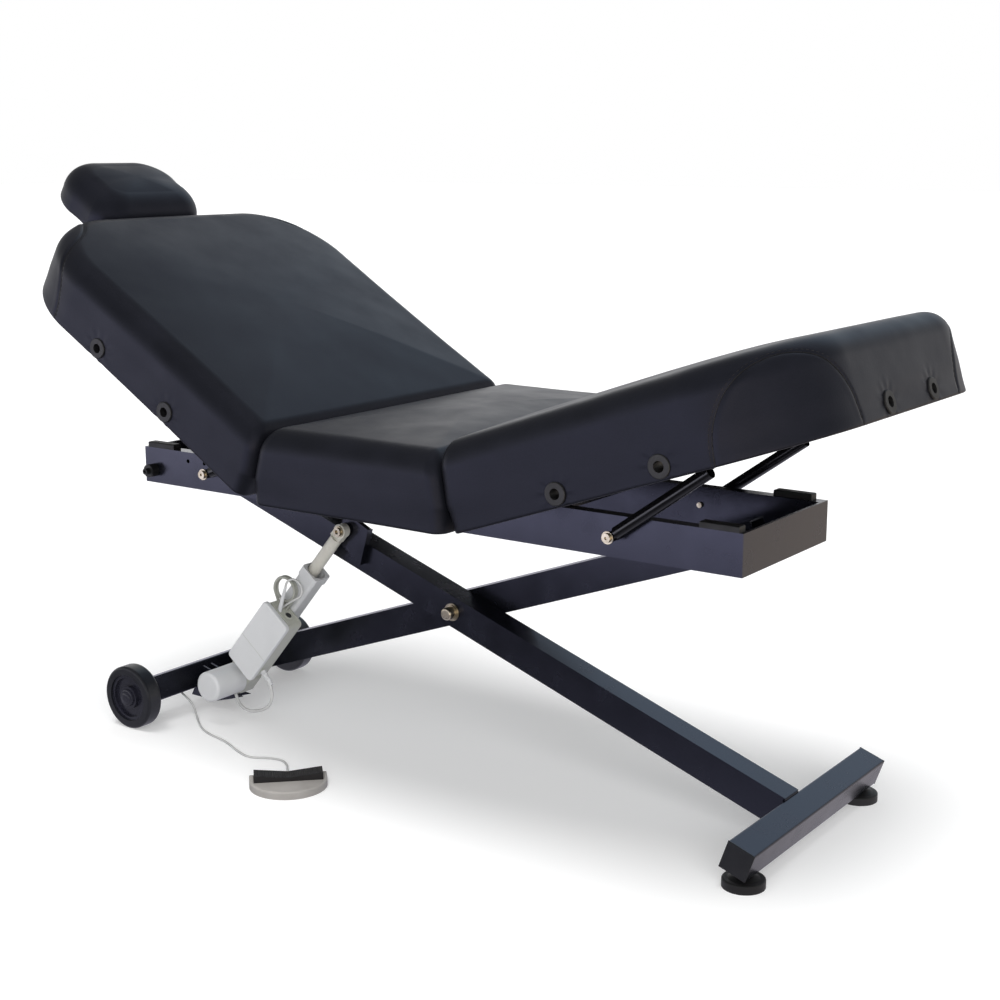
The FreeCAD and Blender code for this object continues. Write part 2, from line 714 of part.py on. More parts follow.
def make_frame():
    """Rails, end plates, cross members, guides, ears, battens, bumpers and the peg."""
    half = frame_width / 2
    plate = end_plate_thickness
    x0 = frame_left_x + plate
    x1 = frame_right_x - plate
    outer = box(x0, x1, half - frame_rail_width, half, frame_bottom, frame_top)
    inner = box(x0, x1, half - frame_rail_width + frame_wall, half - frame_wall,
                frame_bottom + frame_wall, frame_top - frame_wall)
    rail = outer.cut(inner)
    bolt_z = frame_top - spring_foot_below_top
    for x in (leg_spring_foot_x, back_spring_foot_x):
        rail = rail.cut(across(x, bolt_z, spring_bolt_radius, 0, section_width))
    near = mirrored_y(rail)
    for x in rail_hole_places:
        near = near.cut(across(x0 + x, frame_top - rail_hole_below_top, rail_hole_radius,
                               -half - overrun, -half + frame_wall * 2))
    left = box(frame_left_x, x0, -half, half, frame_bottom, frame_top)
    right = box(x1, frame_right_x, -half, half, frame_bottom, frame_top)
    export("frame_rails", solids(rail, near, left, right))

    members = []
    inside = half - frame_rail_width
    half_member = cross_member_width / 2
    hollow = half_member - frame_wall
    for x in (x0 + guide_length - half_member, pivot_x, right_member_x):
        outer = box(x - half_member, x + half_member, -inside, inside, guide_top, frame_top)
        inner = box(x - hollow, x + hollow, -inside - overrun, inside + overrun,
                    guide_top + frame_wall, frame_top - frame_wall)
        members.append(outer.cut(inner))

    guides = []
    low = roller_z - roller_radius - guide_running_gap
    high = guide_top - guide_wall
    for side in (-1, 1):
        face = long_arm_middle_y + side * (arm_width / 2 + side_gap * 3)
        web = long_arm_middle_y + side * (arm_width / 2 + side_gap * 5 + roller_width)
        back = web + side * guide_wall
        y0, y1 = sorted((face, back))
        w0, w1 = sorted((web, back))
        channel = box(x0, x0 + guide_length, y0, y1, high, guide_top)
        channel = channel.fuse(box(x0, x0 + guide_length, y0, y1, low - guide_wall, low))
        channel = channel.fuse(box(x0, x0 + guide_length, w0, w1, low - guide_wall, guide_top))
        guides.append(channel.removeSplitter())
    export("roller_guides", Part.makeCompound(guides))

    ears = []
    for y0, side in ((-side_gap * 2, -1), (arm_width + side_gap * 2, 1)):
        e0, e1 = sorted((y0, y0 + side * ear_thickness))
        ear = box(top_pin_x - top_pin_radius * 3, x1, e0, e1, top_pin_z - top_pin_radius * 3,
                  top_pin_z + top_pin_radius * 3)
        ears.append(ear.cut(across(top_pin_x, top_pin_z, top_pin_radius, e0, e1)))
    export("frame_cross_members", solids(*members, *ears))
    pin_past = side_gap * 2 + ear_thickness + bracket_thickness
    pin = across(top_pin_x, top_pin_z, top_pin_radius, -pin_past, arm_width + pin_past)

    bumpers = []
    for x, side in ((frame_left_x + bumper_length / 7, -1), (frame_left_x + bumper_length / 2, 1),
                    (frame_right_x - bumper_length * 1.1, -1),
                    (frame_right_x - bumper_length * 1.3, 1)):
        y0, y1 = sorted((side * half, side * (half - bumper_width)))
        block = box(x, x + bumper_length, y0, y1, frame_top, frame_top + bumper_height)
        upper = [e for e in block.Edges if e.BoundBox.ZMin > frame_top + bumper_height / 2]
        bumpers.append(block.makeFillet(bumper_height / 4, upper))
    export("bumpers", Part.makeCompound(bumpers))

    peg_x = frame_left_x + peg_from_end
    peg_z = frame_top - peg_below_top
    peg_face = -half - peg_length
    peg = across(peg_x, peg_z, peg_radius, peg_face, -half)
    peg = peg.cut(across(peg_x, peg_z, peg_radius / 2, peg_face, peg_face + peg_radius / 4))
    screw_end = peg_face - peg_screw_out
    screw = across(peg_x, peg_z, peg_radius / 2 - seat_clearance, screw_end,
                   peg_face + peg_radius / 4)
    socket = across(peg_x, peg_z, peg_radius / 4, screw_end, screw_end + peg_radius / 4)
    export("side_peg", solids(peg, screw.cut(socket)))

    bolts = []
    washers = []
    for x in (leg_spring_foot_x, back_spring_foot_x):
        inner_y = half - frame_rail_width
        outer_y = spring_offset_y + spring_eye_width / 2
        shank = across(x, bolt_z, spring_bolt_radius, inner_y - spring_bolt_radius,
                       outer_y + side_gap * 6)
        head = across(x, bolt_z, spring_bolt_radius * 1.6, outer_y + side_gap * 3.5,
                      outer_y + side_gap * 3.5 + spring_bolt_radius)
        head = head.cut(across(x, bolt_z, spring_bolt_radius / 2,
                               outer_y + side_gap * 3.5 + spring_bolt_radius / 2,
                               outer_y + side_gap * 3.5 + spring_bolt_radius * 2))
        shank = shank.common(across(x, bolt_z, spring_bolt_radius, inner_y - spring_bolt_radius,
                                    outer_y + side_gap * 3.5))
        spacer_end = spring_offset_y - spring_eye_width / 2 - side_gap / 2
        bolts.append(shank.fuse(head).removeSplitter())
        washers.append(across_pipe(x, bolt_z, spring_bolt_radius * 2.2, spring_bolt_radius,
                                   outer_y + side_gap / 2, outer_y + side_gap * 3.5))
        washers.append(across_pipe(x, bolt_z, spring_bolt_radius * 1.8, spring_bolt_radius,
                                   half, spacer_end))
    export("frame_bolts", solids(pin, *[both_sides(b) for b in bolts]))
    export("frame_washers", solids(*[both_sides(w) for w in washers]))


def scissor_arm(x0, z0, slope, start, end, y0, y1, bushes, side):
    """A rectangular tube along a slope, with round bushes across it."""
    half = arm_depth / 2
    outer = box(start, end, y0, y1, -half, half)
    inner = box(start - overrun, end + overrun, y0 + arm_wall, y1 - arm_wall, -half + arm_wall,
                half - arm_wall)
    arm = outer.cut(inner)
    for along, outside, inside in bushes:
        arm = arm.fuse(across(along, 0, outside, y0, y1).common(outer))
    for along, outside, inside in bushes:
        arm = arm.cut(across(along, 0, inside, y0 - overrun, y1 + overrun))
    arm = arm.removeSplitter()
    if side < 0:
        arm = arm.mirror(V(0, 0, 0), X_AXIS)
    arm.translate(V(x0, 0, z0))
    return turned(arm, x0, z0, side * slope)


def square_bar(x, z, slope, length):
    """A square tube along Y, turned to the slope of its arm."""
    half = bar_size / 2
    outer = box(x - half, x + half, -length / 2, length / 2, z - half, z + half)
    long_edges = [e for e in outer.Edges if e.BoundBox.YLength > length / 2]
    outer = outer.makeFillet(bar_wall, long_edges)
    inner = box(x - half + bar_wall, x + half - bar_wall, -length, length,
                z - half + bar_wall, z + half - bar_wall)
    return turned(outer.cut(inner), x, z, slope)


def bar_caps(x, z, slope, length, bore):
    """Plastic plugs that close both ends of a square tube."""
    half = bar_size / 2
    fit = half - bar_wall - seat_clearance
    plate = box(x - half, x + half, length / 2, length / 2 + bar_wall, z - half, z + half)
    outer = [e for e in plate.Edges if e.BoundBox.YMin > length / 2 + bar_wall / 2]
    plate = plate.makeFillet(bar_wall / 2, outer)
    plug = box(x - fit, x + fit, length / 2 - half, length / 2, z - fit, z + fit)
    cap = plate.fuse(plug).removeSplitter()
    if bore:
        cap = cap.cut(across(x, z, bore, 0, length))
    return turned(both_sides(cap), x, z, slope)


def make_long_arm():
    """The arm that stands on the glides, with its foot bar and pivot bolt."""
    length = math.hypot(foot_bar_x - pivot_x, pivot_z - foot_bar_z)
    roller_along = length + math.hypot(pivot_x - roller_x, roller_z - pivot_z)
    y0 = long_arm_middle_y - arm_width / 2
    y1 = long_arm_middle_y + arm_width / 2
    arm = scissor_arm(foot_bar_x, foot_bar_z, long_arm_slope, bar_size / 2,
                      roller_along + arm_end_past_pin, y0, y1,
                      ((length, pivot_bush_radius, pivot_bolt_radius),
                       (roller_along, roller_axle_radius * 2, roller_axle_radius)), -1)
    export("long_arm", arm)
    bar = square_bar(foot_bar_x, foot_bar_z, -long_arm_slope, foot_bar_length - 2 * bar_wall)
    export("foot_bar_caps", bar_caps(foot_bar_x, foot_bar_z, -long_arm_slope,
                                     foot_bar_length - 2 * bar_wall, 0))

    studs = []
    pads = []
    for side in (-1, 1):
        y = side * glide_offset_y
        ball = Part.makeSphere(glide_ball_radius, V(glide_x, y, glide_ball_height))
        neck = rod((glide_x, y, glide_ball_height), Z_AXIS, glide_stud_radius,
                   foot_bar_z - glide_ball_height)
        nut_z = foot_bar_z - bar_size / 2 - glide_stud_radius - glide_nut_height
        neck = neck.fuse(rod((glide_x, y, nut_z), Z_AXIS, glide_stud_radius * 1.7,
                             glide_nut_height))
        stud = ball.fuse(neck)
        bar = bar.cut(rod((glide_x, y, glide_ball_height), Z_AXIS, glide_stud_radius,
                          foot_bar_z - glide_ball_height))
        studs.append(stud.removeSplitter())

        disc = rod((glide_x, y, 0), Z_AXIS, glide_radius, glide_rim_height)
        rim = [e for e in disc.Edges if e.BoundBox.ZMin > glide_rim_height / 2]
        disc = disc.makeFillet(glide_rim_height / 5, rim)
        dome = Part.makeCone(glide_radius * 0.75, glide_radius * 0.4, glide_dome_height,
                             V(glide_x, y, glide_rim_height), Z_AXIS)
        pad = disc.fuse(dome).removeSplitter()
        socket = Part.makeSphere(glide_ball_radius + running_gap, V(glide_x, y, glide_ball_height))
        mouth = rod((glide_x, y, glide_ball_height), Z_AXIS, glide_ball_radius + running_gap,
                    glide_dome_height * 2)
        pads.append(pad.cut(socket).cut(mouth))
    export("foot_bar", bar)
    export("glide_studs", Part.makeCompound(studs))
    export("glide_pads", Part.makeCompound(pads))

    bolt_y0 = y0 - arm_gap
    bolt_y1 = arm_width + arm_gap
    bolt = across(pivot_x, pivot_z, pivot_bolt_radius, bolt_y0 - arm_gap, bolt_y1 + arm_gap)
    washers = []
    for a in (y0 - arm_wall, -arm_gap + side_gap, arm_width + side_gap):
        washers.append(across_pipe(pivot_x, pivot_z, pivot_bolt_radius * 2.1, pivot_bolt_radius,
                                   a, a + arm_wall - side_gap / 2))
    washers.append(across_pipe(pivot_x, pivot_z, pivot_bolt_radius * 1.8, pivot_bolt_radius,
                               bolt_y0, y0 - arm_wall))
    export("pivot_washers", solids(*washers))
    caps = []
    cap = across(pivot_x, pivot_z, pivot_bolt_radius * 1.5, bolt_y0 - pivot_bolt_radius * 2, bolt_y0)
    end = [e for e in cap.Edges if e.BoundBox.YMax < bolt_y0 - pivot_bolt_radius]
    cap = cap.makeFillet(pivot_bolt_radius / 2, end)
    caps.append(cap.cut(bolt))
    far0 = arm_width + side_gap / 2 + arm_wall
    far = across(pivot_x, pivot_z, pivot_bolt_radius * 1.5, far0, far0 + pivot_bolt_radius * 2)
    caps.append(far.cut(bolt))

    axle_half = arm_width / 2 + side_gap * 4 + roller_width
    axle = across(roller_x, roller_z, roller_axle_radius, long_arm_middle_y - axle_half,
                  long_arm_middle_y + axle_half)
    rollers = []
    for side in (-1, 1):
        a = long_arm_middle_y + side * (arm_width / 2 + side_gap * 3.5)
        a0, a1 = sorted((a, a + side * roller_width))
        rollers.append(across_pipe(roller_x, roller_z, roller_radius,
                                   roller_axle_radius + running_gap, a0, a1))
    export("guide_rollers", Part.makeCompound(rollers))

    export("lift_side_plates", lift_plates(y0))
    eye_near = actuator_y - actuator_eye_width / 2
    eye_far = actuator_y + actuator_eye_width / 2
    eye_bolt = across(actuator_eye_x, actuator_eye_z, actuator_bolt_radius,
                      eye_near - bracket_thickness, y0)
    eye_bolt = eye_bolt.fuse(across(actuator_eye_x, actuator_eye_z, actuator_bolt_radius * 1.7,
                                    eye_near - bracket_thickness * 2,
                                    eye_near - side_gap * 3))
    socket = across(actuator_eye_x, actuator_eye_z, actuator_bolt_radius * 0.8,
                    eye_near - bracket_thickness * 2, eye_near - bracket_thickness)
    eye_bolt = eye_bolt.cut(socket)
    eye_washer = across_pipe(actuator_eye_x, actuator_eye_z, actuator_bolt_radius * 2.2,
                             actuator_bolt_radius, eye_near - side_gap * 3,
                             eye_near - side_gap / 2)
    eye_spacer = across_pipe(actuator_eye_x, actuator_eye_z, actuator_bolt_radius * 1.8,
                             actuator_bolt_radius, eye_far + side_gap / 2, lift_plate_face)
    export("long_arm_bolts", solids(bolt, axle, eye_bolt, eye_washer, eye_spacer, *caps))


def lift_plates(arm_face):
    """Bracket on the long arm that carries the bolt of the actuator's eye."""
    outline = [(actuator_eye_x + dx, actuator_eye_z + dz) for dx, dz in lift_plate_outline]
    bracket = side_plate(outline, lift_plate_face, arm_face)
    flange = side_plate(outline[1:3] + [(x + bracket_thickness, z) for x, z in outline[2:0:-1]],
                        lift_plate_face - bracket_thickness, arm_face)
    hole = across(actuator_eye_x, actuator_eye_z, actuator_bolt_radius, lift_plate_face, arm_face)
    return bracket.fuse(flange).removeSplitter().cut(hole)


def make_wheel_arm():
    """The arm on wheels, its cross bar, axle, wheels and the actuator's foot plates."""
    x, z = wheel_axle_x, wheel_radius
    length = math.hypot(pivot_x - x, pivot_z - z)
    pin_along = length + math.hypot(top_pin_x - pivot_x, top_pin_z - pivot_z)
    arm = scissor_arm(x, z, wheel_arm_slope, bar_size / 2, pin_along + arm_end_past_pin,
                      0, arm_width,
                      ((length, pivot_bush_radius, pivot_bolt_radius + running_gap),
                       (pin_along, top_pin_radius * 2, top_pin_radius + running_gap)), 1)
    export("wheel_arm", arm)
    inner = wheel_face_y - wheel_width - side_gap
    bar_length = (inner - bar_wall) * 2
    axle_radius = top_pin_radius
    way_out = V(*cord_route[1]) - V(*cord_route[0])
    cord_hole = rod(cord_route[0], way_out, cord_hole_radius, bar_size)
    bar = moved_y(square_bar(x, z, wheel_arm_slope, bar_length), wheel_middle_y)
    export("wheel_bar", bar.cut(cord_hole))
    bar_ends = bar_caps(x, z, wheel_arm_slope, bar_length, axle_radius)
    export("wheel_bar_caps", moved_y(bar_ends, wheel_middle_y))
    axle_end = wheel_face_y + side_gap
    axle = across(x, z, axle_radius, wheel_middle_y - axle_end, wheel_middle_y + axle_end)

    caps = []
    for name, side in (("near", -1), ("far", 1)):
        rim, tyre, cap = wheel(x, z, axle_radius)
        if side < 0:
            rim, tyre, cap = mirrored_y(rim), mirrored_y(tyre), mirrored_y(cap)
        export(name + "_wheel", moved_y(rim, wheel_middle_y))
        export(name + "_tyre", moved_y(tyre, wheel_middle_y))
        caps.append(moved_y(cap, wheel_middle_y))

    foot_x, foot_z = actuator_foot_x, actuator_foot_z
    half = bar_size / 2
    reach = actuator_foot_radius + side_gap
    plates = []
    outline = [(x + half * 0.9, z + half * 0.9), (foot_x + reach * 0.3, foot_z + reach),
               (foot_x + reach, foot_z + reach * 0.3)]
    outline += [(foot_x + dx, foot_z + dz) for dx, dz in foot_plate_outline]
    for side in (-1, 1):
        a = actuator_y + side * (actuator_eye_width / 2 + side_gap)
        a0, a1 = sorted((a, a + side * bracket_thickness))
        plates.append(side_plate(outline, a0, a1))
    gusset = plates[0].fuse(plates[1])
    hole = across(foot_x, foot_z, actuator_bolt_radius, -section_width, section_width)
    outer_bar = turned(box(x - half, x + half, -half * 20, half * 20, z - half, z + half), x, z,
                       wheel_arm_slope)
    gusset = gusset.cut(outer_bar).cut(hole)
    export("lift_foot_plates", solids(gusset))
    bolt_half = actuator_eye_width / 2 + side_gap + bracket_thickness * 2
    foot_bolt = across(foot_x, foot_z, actuator_bolt_radius, actuator_y - bolt_half,
                       actuator_y + bolt_half)
    export("wheel_axle", solids(axle, foot_bolt, *caps))


def wheel(x, z, axle_radius):
    """Stepped rim, tyre and cap of the far wheel."""
    inside = wheel_face_y - wheel_width
    tyre_depth = wheel_radius * 0.26
    hub_radius = wheel_radius * 0.36
    rim_radius = wheel_radius - tyre_depth
    rim = across(x, z, rim_radius, inside, wheel_face_y - wheel_width * 0.12)
    dish = across_pipe(x, z, rim_radius * 0.86, hub_radius, wheel_face_y - wheel_width * 0.3,
                       wheel_face_y)
    back = across_pipe(x, z, rim_radius * 0.86, hub_radius, inside, inside + wheel_width * 0.2)
    rim = rim.cut(dish).cut(back)
    rim = rim.fuse(across(x, z, hub_radius, inside, wheel_face_y - wheel_width * 0.06))
    rim = rim.cut(across(x, z, axle_radius + running_gap, inside - overrun, wheel_face_y + overrun))
    tyre = across_pipe(x, z, wheel_radius, rim_radius, inside, wheel_face_y)
    edges = [e for e in tyre.Edges if e.BoundBox.XLength > wheel_radius * 1.9]
    tyre = tyre.makeFillet(wheel_width / 6, edges)
    face = wheel_face_y - wheel_width * 0.06
    cap = across(x, z, axle_radius * 1.7, face + side_gap / 2, face + axle_radius)
    cap = cap.cut(across(x, z, axle_radius, 0, wheel_face_y + side_gap))
    return rim.removeSplitter(), tyre, cap


def rounded_bar(x0, x1, half):
    """A square bar along X with rounded corners."""
    bar = box(x0, x1, -half, half, -half, half)
    long_edges = [e for e in bar.Edges if e.BoundBox.XLength > (x1 - x0) / 2]
    return bar.makeFillet(actuator_column_corner, long_edges)


def actuator_frame():
    """Direction from the actuator's foot to its eye, and its length."""
    run = actuator_eye_x - actuator_foot_x
    rise = actuator_eye_z - actuator_foot_z
    return math.atan2(rise, run) - actuator_rest_lean, math.hypot(run, rise)


def make_actuator():
    """Motor, gear housing, column, rod, control box and their cables."""
    slope, length = actuator_frame()
    x, z = actuator_foot_x, actuator_foot_z

    def place(shape):
        copy = shape.copy()
        copy.translate(V(x, actuator_y, z))
        return turned(copy, x, z, slope)

    foot = across(0, 0, actuator_foot_radius, -actuator_eye_width / 2, actuator_eye_width / 2)
    foot = foot.fuse(box(0, actuator_foot_radius * 1.4, -actuator_eye_width / 2,
                         actuator_eye_width / 2, -actuator_foot_radius, actuator_foot_radius))
    foot = foot.cut(across(0, 0, actuator_bolt_radius + running_gap, -overrun * 4, overrun * 4))
    gear_start = motor_along - gear_length / 2
    gear = box(gear_start, gear_start + gear_length, -gear_half_width, gear_half_width,
               -gear_half_height, gear_half_height)
    gear = gear.makeFillet(gear_half_width / 3, gear.Edges)
    gear = gear.fuse(foot).cut(across(0, 0, actuator_bolt_radius + running_gap,
                                      -overrun * 4, overrun * 4)).removeSplitter()
    collar_start = actuator_column_end - actuator_collar_length
    bore = rod((0, 0, 0), X_AXIS, actuator_column_bore, actuator_column_end + overrun)
    column = rounded_bar(actuator_column_start, collar_start, actuator_column_half)
    column = column.cut(bore).cut(gear)
    collar = rounded_bar(collar_start, actuator_column_end, actuator_collar_half).cut(bore)
    motor_length = actuator_y - motor_front_y
    motor = across(motor_along, 0, motor_radius, -motor_length, -gear_half_width)
    face = [e for e in motor.Edges if e.BoundBox.YMax < -motor_length + overrun]
    motor = motor.makeFillet(motor_radius / 5, face)
    export("actuator_gear_housing", place(gear))
    export("actuator_column", place(solids(column, collar)))
    export("actuator_motor", place(motor))

    front = box_front_y - actuator_y
    cover_back = front + box_cover_depth
    body_back = -actuator_column_half
    low = -(box_left + box_width)
    cover = box(box_start, box_start + box_length, front, cover_back, low, -box_left)
    upright = [e for e in cover.Edges if e.BoundBox.YLength > box_cover_depth / 2]
    cover = cover.makeFillet(box_corner_radius, upright)
    rim = [e for e in cover.Edges if e.BoundBox.YMax < front + seat_clearance]
    cover = cover.makeFillet(box_cover_depth / 3, rim)
    inset = box_cover_depth / 3
    body = box(box_start + inset, box_start + box_length - inset, cover_back, body_back,
               low + inset, -box_left - inset)
    upright = [e for e in body.Edges if e.BoundBox.YLength > box_depth / 3]
    body = body.makeFillet(box_corner_radius, upright)
    export("control_box_cover", place(cover))
    export("control_box_body", place(body))

    eye = across(0, 0, actuator_eye_radius, -actuator_eye_width / 2, actuator_eye_width / 2)
    bar = rod((-actuator_rod_length, 0, 0), X_AXIS, actuator_rod_radius,
              actuator_rod_length - actuator_rod_neck)
    half_eye = actuator_eye_width / 2
    eye = eye.fuse(box(-actuator_rod_neck, 0, -half_eye, half_eye, -actuator_rod_radius,
                       actuator_rod_radius))
    eye = eye.cut(across(0, 0, actuator_bolt_radius + running_gap, -overrun * 4, overrun * 4))
    eye = eye.removeSplitter()

    def place_eye(shape):
        copy = shape.copy()
        copy.translate(V(actuator_eye_x, actuator_y, actuator_eye_z))
        return turned(copy, actuator_eye_x, actuator_eye_z, slope)

    export("actuator_rod", place_eye(solids(bar, eye)))


def gas_spring(foot_x, foot_z, top_x, top_z, tube_length, rod_length, lean):
    """Cylinder at the foot and rod at the top, parallel, each with an eye along Y."""
    slope = math.atan2(top_z - foot_z, top_x - foot_x) + lean
    half = spring_eye_width / 2
    eye = across(0, 0, spring_eye_radius, -half, half)
    hole = across(0, 0, spring_bolt_radius + running_gap, -half - overrun, half + overrun)
    body = pipe((spring_tube_start, 0, 0), X_AXIS, spring_tube_radius, spring_tube_bore,
                tube_length - spring_tube_start)
    plug = rod((spring_tube_start, 0, 0), X_AXIS, spring_tube_bore, spring_plug_depth)
    neck = rod((0, 0, 0), X_AXIS, spring_neck_radius, spring_tube_start)
    tube = body.fuse(plug).fuse(neck).fuse(eye).cut(hole).removeSplitter()
    bar = rod((-rod_length, 0, 0), X_AXIS, spring_rod_radius, rod_length)
    bar = bar.fuse(eye).cut(hole).removeSplitter()
    placed = []
    for shape, x, z in ((tube, foot_x, foot_z), (bar, top_x, top_z)):
        copy = shape.copy()
        copy.translate(V(x, spring_offset_y, z))
        placed.append(both_sides(turned(copy, x, z, slope)))
    return placed


def section_point(hinge_x, side, tilt, along, up):
    """A point of a tilted section, given along and above its hinge."""
    c = math.cos(math.radians(tilt))
    s = math.sin(math.radians(tilt))
    return hinge_x + side * (along * c - up * s), hinge_height + along * s + up * c


def make_gas_springs():
    """Two under the backrest and two under the leg rest."""
    foot_z = frame_top - spring_foot_below_top
    top_x, top_z = section_point(seat_right_x, 1, leg_tilt, leg_spring_along, leg_spring_up)
    tubes, rods = gas_spring(leg_spring_foot_x, foot_z, top_x, top_z, leg_spring_tube,
                             leg_spring_rod, leg_spring_lean)
    export("leg_spring_tubes", tubes)
    export("leg_spring_rods", rods)
    print("leg spring top", round(top_x, 1), round(top_z, 1))
    top_x, top_z = section_point(seat_left_x, -1, back_tilt, back_spring_along, back_spring_up)
    tubes, rods = gas_spring(back_spring_foot_x, foot_z, top_x, top_z, back_spring_tube,
                             back_spring_rod, back_spring_lean)
    export("back_spring_tubes", tubes)
    export("back_spring_rods", rods)
    print("back spring top", round(top_x, 1), round(top_z, 1))


def make_pedal():
    """Grey D-shaped base, rocker treadle on a pin, and the cord's boot."""
    half = pedal_width / 2

    def place(shape):
        copy = shape.copy()
        copy.rotate(V(0, 0, 0), Z_AXIS, pedal_turn)
        copy.translate(V(pedal_x, pedal_y, 0))
        return copy

    # The base lies with its straight rear edge on Y and its round front toward +X
    corner = pedal_depth * 0.28
    rear = [V(0, -half, 0), V(0, half, 0)]
    edges = [Part.LineSegment(rear[0], rear[1]).toShape(),
             Part.LineSegment(rear[1], V(corner, half, 0)).toShape(),
             Part.Arc(V(corner, half, 0), V(pedal_depth, 0, 0), V(corner, -half, 0)).toShape(),
             Part.LineSegment(V(corner, -half, 0), rear[0]).toShape()]
    base = Part.Face(Part.Wire(edges)).extrude(V(0, 0, pedal_height))
    upper = [e for e in base.Edges if e.BoundBox.ZMin > pedal_height / 2]
    base = base.makeFillet(pedal_height / 4, upper)
    well = box(overrun, overrun + treadle_depth + side_gap * 2, -treadle_width / 2 + overrun,
               treadle_width / 2 - overrun, pedal_height * 0.45, pedal_height * 2)
    base = base.cut(well)
    pin_x = overrun + side_gap
    pin_z = pedal_height * 0.72
    pin = rod((pin_x, 0, pin_z), X_AXIS, treadle_pin_radius, treadle_depth)
    cradle = box(pin_x, pin_x + treadle_depth, -treadle_pin_radius, treadle_pin_radius,
                 pedal_height * 0.45, pin_z)
    base = base.fuse(cradle).cut(pin).removeSplitter()

    wing = treadle_width / 2 - overrun - side_gap
    mid_top = pedal_height + treadle_rise * 0.45
    end_top = pedal_height + treadle_rise
    mid_low = pin_z
    end_low = pedal_height * 0.45 + side_gap * 6
    points = [(-wing, end_low), (0, mid_low), (wing, end_low), (wing, end_top), (0, mid_top),
              (-wing, end_top)]
    corners = [V(pin_x + side_gap, y, h) for y, h in points]
    treadle = Part.Face(Part.makePolygon(corners + corners[:1])).extrude(
        V(treadle_depth - side_gap * 2, 0, 0))
    treadle = treadle.cut(rod((pin_x, 0, pin_z), X_AXIS, treadle_pin_radius + running_gap,
                              treadle_depth))
    room = treadle_pin_radius + side_gap * 2
    treadle = treadle.cut(box(pin_x, pin_x + treadle_depth, -room, room, 0, pin_z))
    export("pedal_base", place(solids(base, pin)))
    export("pedal_treadle", place(treadle))
    boot = Part.makeCone(boot_radius, cord_radius * 1.4, boot_length,
                         V(0, 0, cord_route[-1][2]), V(-1, 0, 0))
    export("pedal_cord_boot", place(boot))


# Route of the pedal's cord: out under the wheel bar, down to the floor, along it to the pedal
cord_route = (
    (-588.0, -138.0, 52.0), (-577.0, -140.0, 38.5), (-553.0, -143.5, 31.5),
    (-532.0, -151.0, 23.6), (-515.0, -160.0, 13.0), (-492.0, -176.0, 2.4),
    (-452.0, -205.0, 2.4), (-413.0, -220.0, 2.4),
    (-377.0, -226.0, 2.4), (-346.0, -236.0, 2.4), (-303.0, -256.0, 2.4), (-262.0, -268.0, 2.4),
    (-229.0, -247.0, 2.4), (-200.0, -240.0, 2.4), (-172.0, -257.0, 4.0), (-149.3, -281.8, 9.0),
    (-135.35, -295.98, 9.0))


def cord_path(route):
    """Straight runs joined by tangent arcs, as large as the two runs allow."""
    points = [V(*p) for p in route]
    edges = []
    radii = []
    last = points[0]
    for before, here, after in zip(points, points[1:], points[2:]):
        back = (before - here)
        ahead = (after - here)
        turn = math.pi - back.getAngle(ahead)
        shorter = min(back.Length, ahead.Length)
        reach = 0.45 * shorter
        radius = reach / math.tan(turn / 2)
        radii.append(radius)
        back.normalize()
        ahead.normalize()
        start = here + back * reach
        end = here + ahead * reach
        middle_line = back + ahead
        middle_line.normalize()
        middle = here + middle_line * (radius / math.cos(turn / 2) - radius)
        edges.append(Part.LineSegment(last, start).toShape())
        edges.append(Part.Arc(start, middle, end).toShape())
        last = end
    edges.append(Part.LineSegment(last, points[-1]).toShape())
    return Part.Wire(edges), radii


def make_cord():
    """The pedal's cord as one round tube along its route."""
    path, radii = cord_path(cord_route)
    start = V(*cord_route[0])
    direction = V(*cord_route[1]) - start
    circle = Part.Wire([Part.Circle(start, direction, cord_radius).toShape()])
    tube = path.makePipeShell([circle], True, True)
    section_area = math.pi * cord_radius ** 2
    print("cord radii", [round(r) for r in radii])
    print("cord length", round(path.Length, 1), "volume share",
          round(tube.Volume / (section_area * path.Length), 4))
    export("pedal_cord", tube)


os.makedirs("parts", exist_ok=True)
make_tilting_sections()
make_seat()
make_headrest()
make_frame()
make_long_arm()
make_wheel_arm()
make_actuator()
make_gas_springs()
make_pedal()
make_cord()
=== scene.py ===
# %% [markdown]
# # A tattoo chair in Blender
# The real thing is an electric treatment table: a long padded top in three sections, hinged
# twice, on a steel frame that a scissor lift carries. The steel, wood and plastic parts come from
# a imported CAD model, and stay where they are. What Blender adds is everything that CAD does
# badly: tight vinyl covers, stitched seams, soft cables, weld beads, and surfaces that look like
# powder coat, zinc, rubber and moulded plastic.
#
# The scene starts by loading the CAD model as a fixed frame. Each part is already in its place.

# %% Load the CAD frame
import math

import bmesh
import bpy
import numpy as np
from mathutils import Matrix, Vector, noise


